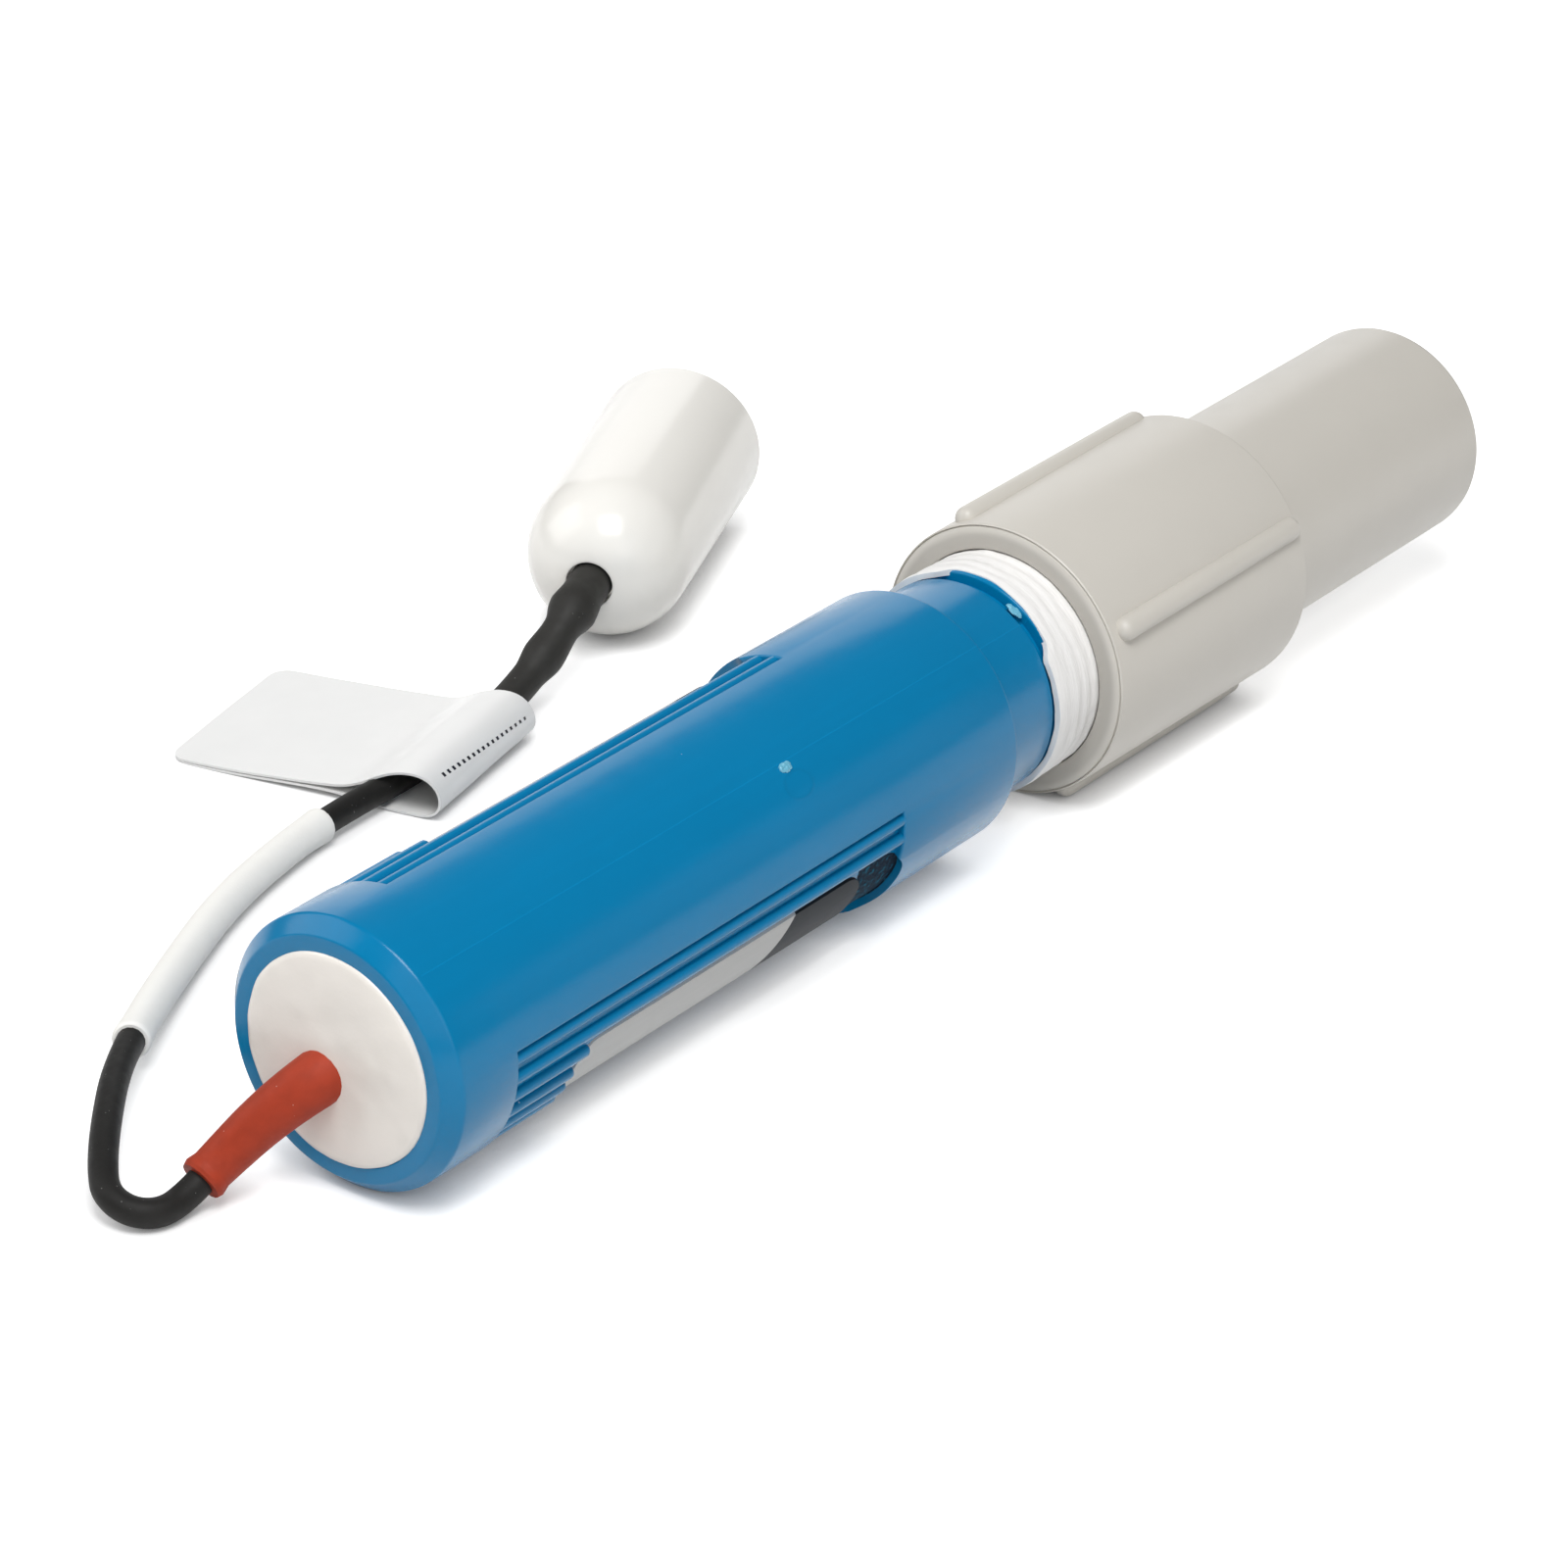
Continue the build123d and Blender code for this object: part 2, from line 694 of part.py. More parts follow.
# Boot, a moulded grip pressed on the nut. Its dome is two tangent arcs of an eighth turn each
half_root = cos(radians(45))
arc_divisor = 2 * half_root - 1
dome_tip_arc = (boot_dome_height * half_root - boot_dome_length * (1 - half_root)) / arc_divisor
dome_side_arc = (boot_dome_length * half_root - boot_dome_height * (1 - half_root)) / arc_divisor
with BuildPart() as connector_boot:
    with BuildSketch(plug_section):
        with BuildLine():
            nose_arc = JernArc((0, boot_nose_radius - boot_dome_height), (0, 1), dome_tip_arc, -45)
            dome_arc = JernArc(nose_arc @ 1, nose_arc % 1, dome_side_arc, -45)
            Polyline(dome_arc @ 1, (boot_length, boot_mouth_radius), (boot_length, 0), (0, 0), nose_arc @ 0)
        make_face()
    revolve(axis=plug_axis)
    mouth_rim = connector_boot.edges().filter_by(GeomType.CIRCLE).sort_by(plug_axis)[-1]
    fillet(mouth_rim, boot_mouth_round)
    with BuildSketch(plug_plane(0)) as boot_hole:
        Circle(boot_hole_radius)
    extrude(boot_hole.sketch, amount=boot_hole_length, mode=Mode.SUBTRACT)
    with BuildSketch(plug_plane(boot_hole_length)) as boot_cavity:
        Circle(boot_cavity_radius)
    extrude(boot_cavity.sketch, amount=boot_length - boot_hole_length, mode=Mode.SUBTRACT)
    with BuildSketch(plug_plane(nut_start)) as boot_seat:
        Circle(nut_radius)
    extrude(boot_seat.sketch, amount=boot_length - nut_start, mode=Mode.SUBTRACT)
write(connector_boot.part, "connector_boot")

# Crimp ferrule over the lead's core
ferrule_end = ferrule_start + ferrule_length
with BuildPart() as plug_ferrule:
    with BuildSketch(plug_plane(ferrule_start)):
        Circle(ferrule_radius)
        Circle(ferrule_bore_radius, mode=Mode.SUBTRACT)
    extrude(amount=ferrule_length)
write(plug_ferrule.part, "plug_ferrule")

# Plug body: crimp shoulder, neck, flange that holds the nut, and slotted outer contact
plug_rear_end = ferrule_end + plug_rear_length
flange_start = nut_bore_start + washer_thickness + washer_gap
flange_end = flange_start + plug_flange_length
contact_end = flange_end + contact_length
contact_bore_radius = contact_radius - contact_wall
with BuildPart() as plug_body:
    with BuildSketch(plug_section):
        with BuildLine():
            Polyline(
                (ferrule_end, core_radius),
                (ferrule_end, plug_rear_radius),
                (plug_rear_end, plug_rear_radius),
                (plug_rear_end, plug_neck_radius),
                (flange_start, plug_neck_radius),
                (flange_start, plug_flange_radius),
                (flange_end, plug_flange_radius),
                (flange_end, contact_radius),
                (contact_end, contact_radius),
                (contact_end, contact_bore_radius),
                (plug_rear_end, contact_bore_radius),
                (plug_rear_end, core_radius),
                close=True,
            )
        make_face()
    revolve(axis=plug_axis)
    with BuildSketch(plug_plane(contact_end - contact_slot_length)) as contact_slots:
        Rectangle(3 * contact_radius, contact_slot_width)
        Rectangle(contact_slot_width, 3 * contact_radius)
        Circle(pin_radius, mode=Mode.SUBTRACT)
    extrude(contact_slots.sketch, amount=contact_slot_length, mode=Mode.SUBTRACT)
write(plug_body.part, "plug_body")

# Spring washer in the nut behind the body's flange, and the front gasket
with BuildPart() as plug_washer:
    with BuildSketch(plug_plane(nut_bore_start)):
        Circle(nut_bore_radius)
        Circle(plug_neck_radius + nut_flange_clearance, mode=Mode.SUBTRACT)
    extrude(amount=washer_thickness)
write(plug_washer.part, "plug_washer")

with BuildPart() as plug_gasket:
    with BuildSketch(plug_plane(flange_end)):
        Circle(plug_flange_radius)
        Circle(contact_radius, mode=Mode.SUBTRACT)
    extrude(amount=gasket_length)
write(plug_gasket.part, "plug_gasket")

# Insulator, centre pin and the lead's core
insulator_end = plug_rear_end + insulator_length
with BuildPart() as plug_insulator:
    with BuildSketch(plug_plane(plug_rear_end)):
        Circle(contact_bore_radius)
        Circle(pin_radius, mode=Mode.SUBTRACT)
    extrude(amount=insulator_length)
write(plug_insulator.part, "plug_insulator")

with BuildPart() as plug_pin:
    with BuildSketch(plug_plane(plug_rear_end)):
        Circle(pin_radius)
    extrude(amount=pin_length)
    pin_tip = plug_pin.edges().filter_by(GeomType.CIRCLE).sort_by(plug_axis)[-1]
    chamfer(pin_tip, pin_chamfer)
write(plug_pin.part, "plug_pin")

with BuildPart() as cable_core:
    with BuildSketch(plug_plane(ferrule_start)):
        Circle(core_radius)
    extrude(amount=plug_rear_end - ferrule_start)
write(cable_core.part, "cable_core")
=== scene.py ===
"""The looks of a combination pH electrode in its storage cap, with a flagged lead and a booted plug.

Pieces are modelled in millimetres about the probe's or the plug's own axis, and scaled to the
frame's metres when they are finished.
"""

import json
import logging
import math
from collections.abc import Callable, Sequence
from dataclasses import dataclass, field
from enum import Enum

import bpy
from bpy.types import Material, Node, NodeSocket, Object
from mathutils import Matrix, Vector


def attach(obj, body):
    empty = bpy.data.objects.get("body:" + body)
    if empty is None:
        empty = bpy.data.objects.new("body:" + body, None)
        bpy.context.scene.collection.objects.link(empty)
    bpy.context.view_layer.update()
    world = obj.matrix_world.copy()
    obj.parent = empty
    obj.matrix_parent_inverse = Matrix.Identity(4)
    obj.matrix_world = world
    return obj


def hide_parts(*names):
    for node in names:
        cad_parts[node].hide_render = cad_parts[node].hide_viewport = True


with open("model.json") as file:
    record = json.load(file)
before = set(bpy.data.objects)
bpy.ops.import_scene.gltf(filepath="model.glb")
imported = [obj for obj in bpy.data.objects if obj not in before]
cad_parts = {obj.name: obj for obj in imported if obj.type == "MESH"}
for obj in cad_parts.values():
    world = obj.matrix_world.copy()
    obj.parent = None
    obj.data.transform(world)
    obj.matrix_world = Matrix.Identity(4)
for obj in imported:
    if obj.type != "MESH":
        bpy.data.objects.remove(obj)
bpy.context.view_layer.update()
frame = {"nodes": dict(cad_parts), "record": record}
MM = 0.001
AXIS_HEIGHT = 16.72
TAG_HEADING = 12.0
BALL_SHARE = 0.98

log = logging.getLogger("electrode")


class Body(Enum):
    """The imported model's rigid bodies that carry the pieces made here."""

    PROBE = "probe"
    CAP = "cap"
    PLUG = "plug_grip"


Place = tuple[float, float, float]
Link = NodeSocket | float | tuple


class Reading:
    """A shader socket that takes part in Python sums, each of which adds its Math node."""

    def __init__(self, shader: "Shader", socket: NodeSocket) -> None:
        """Wrap one output socket of a shader's tree."""
        self.shader = shader
        self.socket = socket

    def _math(self, operation: str, *others: "Reading | float") -> "Reading":
        """Add a Math node that starts from this reading.

        Args:
            operation: The node's operation.
            others: Its further inputs.

        Returns:
            The node's result.
        """
        node = self.shader.node("ShaderNodeMath", {"operation": operation})
        for place, value in zip(node.inputs, (self, *others)):
            self.shader.feed(place, value)
        return Reading(self.shader, node.outputs[0])

    def __add__(self, other: "Reading | float") -> "Reading":
        """Sum with another reading or a number."""
        return self._math("ADD", other)

    __radd__ = __add__

    def __sub__(self, other: "Reading | float") -> "Reading":
        """Difference from another reading or a number."""
        return self._math("SUBTRACT", other)

    def __rsub__(self, other: float) -> "Reading":
        """A number less this reading."""
        return self * -1.0 + other

    def __mul__(self, other: "Reading | float") -> "Reading":
        """Product with another reading or a number."""
        return self._math("MULTIPLY", other)

    __rmul__ = __mul__

    def __truediv__(self, other: "Reading | float") -> "Reading":
        """Quotient by another reading or a number."""
        return self._math("DIVIDE", other)

    def size(self) -> "Reading":
        """The reading without its sign."""
        return self._math("ABSOLUTE")

    def above(self, other: "Reading | float") -> "Reading":
        """One where this reading is the greater, and nought elsewhere."""
        return self._math("GREATER_THAN", other)

    def below(self, other: "Reading | float") -> "Reading":
        """One where this reading is the lesser, and nought elsewhere."""
        return self._math("LESS_THAN", other)

    def least(self, other: "Reading | float") -> "Reading":
        """The lesser of two readings."""
        return self._math("MINIMUM", other)

    def power(self, exponent: float) -> "Reading":
        """This reading raised to a power."""
        return self._math("POWER", exponent)

    def part(self) -> "Reading":
        """What is left of this reading above a whole number."""
        return self._math("FRACT")

    def ease(self, low: float, high: float) -> "Reading":
        """A smooth rise from nought at one value to one at another.

        Args:
            low: The value where the rise starts.
            high: The value where it ends; less than low for a fall.

        Returns:
            The eased reading.
        """
        settings = {"interpolation_type": "SMOOTHSTEP"}
        inputs = {"Value": self, "From Min": low, "From Max": high}
        node = self.shader.node("ShaderNodeMapRange", settings, inputs)
        return Reading(self.shader, node.outputs[0])


class Shader:
    """The node tree of one finish."""

    def __init__(self, name: str) -> None:
        """Start a material with a Principled shader and nothing else.

        Args:
            name: The material's name.
        """
        self.material = bpy.data.materials.new(name)
        self.material.use_nodes = True
        self.tree = self.material.node_tree
        self.tree.nodes.clear()
        self.surface = self.node("ShaderNodeBsdfPrincipled")
        self.node("ShaderNodeOutputMaterial", {}, {"Surface": self.surface.outputs[0]})

    def feed(self, place: NodeSocket, value: "Reading | Link") -> None:
        """Set an input socket, by a link or by a plain value.

        Args:
            place: The input socket.
            value: A reading, a socket, a colour or a number.
        """
        if isinstance(value, Reading):
            self.tree.links.new(value.socket, place)
        elif isinstance(value, NodeSocket):
            self.tree.links.new(value, place)
        elif isinstance(value, tuple) and len(value) == 3 and place.type == "RGBA":
            place.default_value = (*value, 1.0)
        else:
            place.default_value = value

    def node(self, kind: str, settings: dict | None = None, inputs: dict | None = None) -> Node:
        """Add a node of any type.

        Args:
            kind: The node's type name.
            settings: Attributes that are set before the sockets.
            inputs: Values or links, by socket name or number.

        Returns:
            The new node.
        """
        node = self.tree.nodes.new(kind)
        for name, value in (settings or {}).items():
            setattr(node, name, value)
        for name, value in (inputs or {}).items():
            self.feed(node.inputs[name], value)
        return node

    def place(self, stretch: Place = (1.0, 1.0, 1.0)) -> NodeSocket:
        """Object coordinates in millimetres, stretched along the axes.

        Args:
            stretch: How far a pattern is drawn out along each axis.

        Returns:
            The vector socket.
        """
        coordinates = self.node("ShaderNodeTexCoord").outputs["Object"]
        scale = tuple(1 / (MM * part) for part in stretch)
        mapping = self.node("ShaderNodeMapping", {}, {"Vector": coordinates, "Scale": scale})
        return mapping.outputs[0]

    def parts(self, vector: NodeSocket) -> tuple[Reading, Reading, Reading]:
        """The three components of a vector, as readings."""
        node = self.node("ShaderNodeSeparateXYZ", {}, {"Vector": vector})
        return tuple(Reading(self, socket) for socket in node.outputs)

    def about_probe(self) -> tuple[Reading, Reading, Reading, Reading]:
        """Where a point is about the probe's axis.

        Returns:
            How far it is along, across, up from the axis, and out from it, in millimetres.
        """
        along, across, height = self.parts(self.place())
        up = height - AXIS_HEIGHT
        return along, across, up, (across * across + up * up).power(0.5)

    def clouds(self, grain: float, detail: float = 3.0, vector: NodeSocket | None = None) -> Reading:
        """Noise from nought to one.

        Args:
            grain: The size of its largest lumps, in millimetres.
            detail: How many finer octaves it has.
            vector: The coordinates, in millimetres; the object's own if left out.

        Returns:
            The noise as a reading.
        """
        inputs = {"Vector": vector or self.place(), "Scale": 1 / grain, "Detail": detail}
        return Reading(self, self.node("ShaderNodeTexNoise", {}, inputs).outputs[0])

    def specks(self, spacing: float, radius: float, share: float) -> Reading:
        """Scattered round specks, one where a speck is.

        Args:
            spacing: The mean distance between possible specks, in millimetres.
            radius: A speck's largest radius, in millimetres.
            share: The share of the places that carry a speck.

        Returns:
            The speck mask.
        """
        inputs = {"Vector": self.place(), "Scale": 1 / spacing}
        cells = self.node("ShaderNodeTexVoronoi", {}, inputs)
        distance = Reading(self, cells.outputs["Distance"])
        chance, size, _ = self.parts(cells.outputs["Color"])
        reach = size * (radius / spacing)
        return distance.below(reach) * chance.below(share)

    def mix(self, factor: Reading | float, base: Link, other: Link) -> NodeSocket:
        """A colour between two colours.

        Args:
            factor: The share of the other colour.
            base: The colour at nought.
            other: The colour at one.

        Returns:
            The mixed colour's socket.
        """
        node = self.node("ShaderNodeMix", {"data_type": "RGBA"})
        for name, value in (("Factor", factor), ("A", base), ("B", other)):
            sockets = [s for s in node.inputs if s.name == name and s.enabled]
            self.feed(sockets[0], value)
        return next(s for s in node.outputs if s.enabled)

    def relief(self, height: Reading, depth: float, below: NodeSocket | None = None) -> NodeSocket:
        """A bumped normal.

        Args:
            height: The relief, from nought to one.
            depth: Its full height in millimetres.
            below: A normal that it is laid on.

        Returns:
            The normal socket.
        """
        inputs = {"Height": height, "Distance": depth * MM, "Strength": 1.0}
        if below is not None:
            inputs["Normal"] = below
        return self.node("ShaderNodeBump", {}, inputs).outputs[0]

    def finish(self, **inputs: "Reading | Link") -> Material:
        """Set the surface's sockets by name, with underscores for spaces, and return the material.

        Args:
            inputs: Values or links, by the sockets' names.

        Returns:
            The material.
        """
        for name, value in inputs.items():
            self.feed(self.surface.inputs[name.replace("_", " ")], value)
        return self.material


@dataclass(frozen=True)
class Finish:
    """What every finish has: its name, the record's slot and its main colour."""

    name: str
    slot: str
    colour: tuple[float, float, float]

    def shade(self, amount: float) -> tuple[float, float, float]:
        """The main colour, lighter or darker by a factor."""
        return tuple(min(part * amount, 1.0) for part in self.colour)

    def material(self) -> Material:
        """Build the finish; each kind of finish has its own way."""
        raise NotImplementedError


@dataclass(frozen=True)
class Moulding(Finish):
    """Moulded plastic with faint clouding, fine grain and dust specks."""

    roughness: float = 0.38
    clouding: float = 0.05
    grain: float = 0.35
    grain_depth: float = 0.006
    ripple: float = 4.0
    ripple_depth: float = 0.02
    dust: float = 0.05

    def skin(self, shader: Shader) -> NodeSocket:
        """The clouded colour with dust specks on it.

        Args:
            shader: The tree that the nodes go in.

        Returns:
            The colour's socket.
        """
        clouded = shader.mix(shader.clouds(9.0), self.shade(1 - self.clouding), self.shade(1 + self.clouding))
        pale = tuple(0.5 + part / 2 for part in self.colour)
        return shader.mix(shader.specks(2.6, 0.22, self.dust) * 0.6, clouded, pale)

    def texture(self, shader: Shader) -> NodeSocket:
        """A slow ripple with fine grain on it."""
        ripple = shader.relief(shader.clouds(self.ripple, 1.0), self.ripple_depth)
        return shader.relief(shader.clouds(self.grain, 2.0), self.grain_depth, ripple)

    def material(self) -> Material:
        """Build the plastic.

        Returns:
            The material.
        """
        shader = Shader(self.name)
        gloss = shader.clouds(3.0) * 0.12 + (self.roughness - 0.06)
        return shader.finish(Base_Color=self.skin(shader), Roughness=gloss, Normal=self.texture(shader))


@dataclass(frozen=True)
class BarrelPlastic(Moulding):
    """The barrel's blue plastic, with the mould's parting line, a gate ring and rough recess ends."""

    parting_angle: float = 129.0
    line_width: float = 0.13
    line_start: float = -95.6
    line_strength: float = 0.24
    line_shade: float = 1.6
    specular: float = 0.28
    ring_middle: Place = (-36.9, -11.72, 26.55)
    ring_radius: float = 1.55
    ring_width: float = 0.3
    ring_flatness: float = 0.55
    ring_strength: float = 0.14
    ring_shade: float = 0.6
    mark_depth: float = 0.03
    streak_stretch: float = 14.0
    streak_strength: float = 0.2
    streak_shade: float = 1.12
    recess_end: tuple[float, float] = (-29.0, -21.0)
    recess_radii: tuple[float, float] = (13.2, 14.33)
    recess_dark: tuple[float, float, float] = (0.0, 0.012, 0.03)
    recess_pale: tuple[float, float, float] = (0.01, 0.16, 0.26)
    recess_dullness: float = 0.7
    recess_grain: float = 0.55
    recess_depth: float = 0.5

    def parting_line(self, across: Reading, up: Reading, along: Reading) -> Reading:
        """One on the thin line down both sides, clear of the cable end's chamfer.

        Args:
            across: How far a point is across from the axis.
            up: How far it is above the axis.
            along: How far it is along the probe.

        Returns:
            The line's mask.
        """
        turn = math.radians(self.parting_angle)
        off_line = (across * -math.sin(turn) + up * math.cos(turn)).size()
        return off_line.ease(self.line_width, 0.0) * along.above(self.line_start)

    def gate_ring(self, shader: Shader) -> Reading:
        """One on the faint ring that the gate leaves.

        Args:
            shader: The tree that the nodes go in.

        Returns:
            The ring's mask.
        """
        offsets = [part - middle for part, middle in zip(shader.parts(shader.place()), self.ring_middle)]
        squares = [offset * offset for offset in offsets]
        distance = (squares[0] * self.ring_flatness + squares[1] + squares[2]).power(0.5)
        return (distance - self.ring_radius).size().ease(self.ring_width, 0.0)

    def material(self) -> Material:
        """Build the plastic.

        Returns:
            The material.
        """
        shader = Shader(self.name)
        along, across, up, out = shader.about_probe()
        line = self.parting_line(across, up, along)
        ring = self.gate_ring(shader)
        low, high = self.recess_radii
        start, end = self.recess_end
        in_recess = out.above(low) * out.below(high) * along.above(start) * along.below(end)
        streaks = shader.clouds(1.2, 3.0, shader.place((self.streak_stretch, 1.0, 1.0)))
        streaked = streaks.ease(0.45, 0.75) * self.streak_strength
        colour = shader.mix(streaked, self.skin(shader), self.shade(self.streak_shade))
        colour = shader.mix(line * self.line_strength, colour, self.shade(self.line_shade))
        colour = shader.mix(ring * self.ring_strength, colour, self.shade(self.ring_shade))
        scuffed = shader.clouds(self.recess_grain, 4.0)
        rough = shader.mix(scuffed.ease(0.5, 0.72), self.recess_dark, self.recess_pale)
        colour = shader.mix(in_recess, colour, rough)
        gloss = shader.clouds(2.5) * 0.12 + in_recess * self.recess_dullness + (self.roughness - 0.06)
        normal = shader.relief(line * 0.6 + ring * 0.5, self.mark_depth, self.texture(shader))
        normal = shader.relief(scuffed * in_recess, self.recess_depth, normal)
        inputs = {"Base_Color": colour, "Roughness": gloss, "Normal": normal}
        return shader.finish(Specular_IOR_Level=self.specular, **inputs)


@dataclass(frozen=True)
class CapPlastic(Moulding):
    """The cap's grey plastic, with painted shade darkening the face round its mouth."""

    # painted shade on the face round the mouth: where it lies, and how dark it makes the colour
    face_depth: tuple[float, float] = (16.9, 16.5)
    face_rim: tuple[float, float] = (15.9, 14.9)
    face_painted_shade: float = 0.76

    def skin(self, shader: Shader) -> NodeSocket:
        """The clouded colour, with painted shade darkening the mouth's face.

        Args:
            shader: The tree that the nodes go in.

        Returns:
            The colour's socket.
        """
        along, _, _, out = shader.about_probe()
        # painted shade: the colour is darker on the face round the mouth, standing in for the shade there
        painted_shade_on_face = along.ease(*self.face_depth) * out.ease(*self.face_rim)
        return shader.mix(painted_shade_on_face, super().skin(shader), self.shade(self.face_painted_shade))


@dataclass(frozen=True)
class Resin(Finish):
    """Cast potting resin, uneven, with pits and a few dark grains."""

    def material(self) -> Material:
        """Build the resin.

        Returns:
            The material.
        """
        shader = Shader(self.name)
        colour = shader.mix(shader.clouds(5.0, 2.0), self.shade(0.94), self.shade(1.02))
        colour = shader.mix(shader.specks(1.3, 0.16, 0.12) * 0.5, colour, self.shade(0.45))
        normal = shader.relief(shader.clouds(4.0, 1.0), 0.1)
        normal = shader.relief(shader.clouds(0.5, 3.0), 0.02, normal)
        return shader.finish(Base_Color=colour, Roughness=shader.clouds(1.5) * 0.1 + 0.16, Normal=normal)


@dataclass(frozen=True)
class Jacket(Finish):
    """A matte sleeve or jacket with fine dust on it."""

    roughness: float = 0.6
    speck: tuple[float, float, float] = (0.5, 0.5, 0.5)
    speck_share: float = 0.3
    wrinkle: float = 2.0
    wrinkle_depth: float = 0.03
    mottle: float = 0.2
    specular: float = 0.3

    def material(self) -> Material:
        """Build the sleeve.

        Returns:
            The material.
        """
        shader = Shader(self.name)
        tones = self.shade(1 - self.mottle), self.shade(1 + self.mottle)
        colour = shader.mix(shader.clouds(1.5, 4.0), *tones)
        colour = shader.mix(shader.specks(0.55, 0.09, self.speck_share) * 0.55, colour, self.speck)
        normal = shader.relief(shader.clouds(self.wrinkle, 2.0), self.wrinkle_depth)
        normal = shader.relief(shader.clouds(0.22, 2.0), 0.01, normal)
        gloss = shader.clouds(1.2) * 0.2 + (self.roughness - 0.1)
        inputs = {"Base_Color": colour, "Roughness": gloss, "Normal": normal}
        return shader.finish(Specular_IOR_Level=self.specular, **inputs)


@dataclass(frozen=True)
class Film(Finish):
    """Glossy film with a faint waviness, and a row of small dark squares along its fold."""

    roughness: float = 0.22
    heading: float = TAG_HEADING
    fold: float = 52.0
    row: tuple[float, float] = (-17.3, 1.9)
    row_height: float = 5.5
    row_fall: float = 0.054
    pitch: float = 1.07
    square: float = 0.46
    square_half_height: float = 0.184
    ink: tuple[float, float, float] = (0.02, 0.02, 0.03)

    def squares(self, shader: Shader) -> Reading:
        """One on the dark squares.

        Args:
            shader: The tree that the nodes go in.

        Returns:
            The squares' mask.
        """
        along, across, up = shader.parts(shader.place())
        turn = math.radians(self.heading)
        down_row = along * math.cos(turn) + across * math.sin(turn)
        away = across * math.cos(turn) - along * math.sin(turn)
        start, end = self.row
        from_start = down_row - start
        in_square = (from_start / self.pitch).part().below(self.square / self.pitch)
        off_row = (up - self.row_height + from_start * self.row_fall).size()
        in_row = from_start.above(0.0) * down_row.below(end) * off_row.below(self.square_half_height)
        return in_square * in_row * away.below(self.fold)

    def material(self) -> Material:
        """Build the film.

        Returns:
            The material.
        """
        shader = Shader(self.name)
        colour = shader.mix(shader.clouds(5.0), self.shade(0.97), self.shade(1.02))
        colour = shader.mix(shader.specks(1.8, 0.12, 0.03) * 0.4, colour, self.shade(0.6))
        colour = shader.mix(self.squares(shader), colour, self.ink)
        normal = shader.relief(shader.clouds(6.0, 1.0), 0.08)
        gloss = shader.clouds(2.0) * 0.1 + (self.roughness - 0.05)
        return shader.finish(Base_Color=colour, Roughness=gloss, Normal=normal)


@dataclass(frozen=True)
class LabelFilm(Finish):
    """The label: a silver field that ends on a slant, and a dark field beyond it."""

    dark: tuple[float, float, float] = (0.022, 0.026, 0.032)
    specular: float = 0.08
    slant_start: float = -44.3
    slant_height: float = 5.0
    slant: float = 0.47
    ink_shade: float = 0.7

    def material(self) -> Material:
        """Build the film.

        Returns:
            The material.
        """
        shader = Shader(self.name)
        along, _, up = shader.parts(shader.place())
        edge = along - (up - self.slant_height) * self.slant - self.slant_start
        dark = edge.above(0.0)
        brushed = shader.clouds(0.6, 3.0, shader.place((8.0, 1.0, 1.0)))
        silver = shader.mix(brushed, self.shade(0.95), self.shade(1.04))
        ink = shader.mix(brushed, tuple(self.ink_shade * part for part in self.dark), self.dark)
        colour = shader.mix(dark, silver, ink)
        normal = shader.relief(shader.clouds(5.0, 1.0), 0.04)
        inputs = {"Base_Color": colour, "Roughness": brushed * 0.1 + 0.42, "Normal": normal}
        return shader.finish(Specular_IOR_Level=self.specular, **inputs)


@dataclass(frozen=True)
class SealTape(Finish):
    """Thin white thread tape, stretched and creased round the thread."""

    def material(self) -> Material:
        """Build the tape.

        Returns:
            The material.
        """
        shader = Shader(self.name)
        creases = shader.clouds(0.8, 4.0, shader.place((0.5, 3.0, 3.0)))
        colour = shader.mix(creases, self.shade(0.92), self.shade(1.04))
        normal = shader.relief(creases, 0.07)
        return shader.finish(Base_Color=colour, Roughness=creases * 0.2 + 0.4, Normal=normal)


@dataclass(frozen=True)
class Plated(Finish):
    """Plated or drawn metal with fine turning marks."""

    roughness: float = 0.22

    def material(self) -> Material:
        """Build the metal.

        Returns:
            The material.
        """
        shader = Shader(self.name)
        marks = shader.clouds(0.25, 2.0, shader.place((1.0, 1.0, 6.0)))
        colour = shader.mix(shader.clouds(2.0), self.shade(0.9), self.shade(1.05))
        normal = shader.relief(marks, 0.004)
        gloss = marks * 0.14 + (self.roughness - 0.07)
        return shader.finish(Base_Color=colour, Roughness=gloss, Metallic=1.0, Normal=normal)


@dataclass(frozen=True)
class ClearGlass(Finish):
    """Drawn glass of the stem and bulb."""

    def material(self) -> Material:
        """Build the glass.

        Returns:
            The material.
        """
        shader = Shader(self.name)
        gloss = shader.clouds(2.0) * 0.03 + 0.02
        normal = shader.relief(shader.clouds(5.0, 1.0), 0.02)
        inputs = {"Base_Color": self.colour, "Roughness": gloss, "Normal": normal}
        return shader.finish(Transmission_Weight=0.92, IOR=1.5, **inputs)


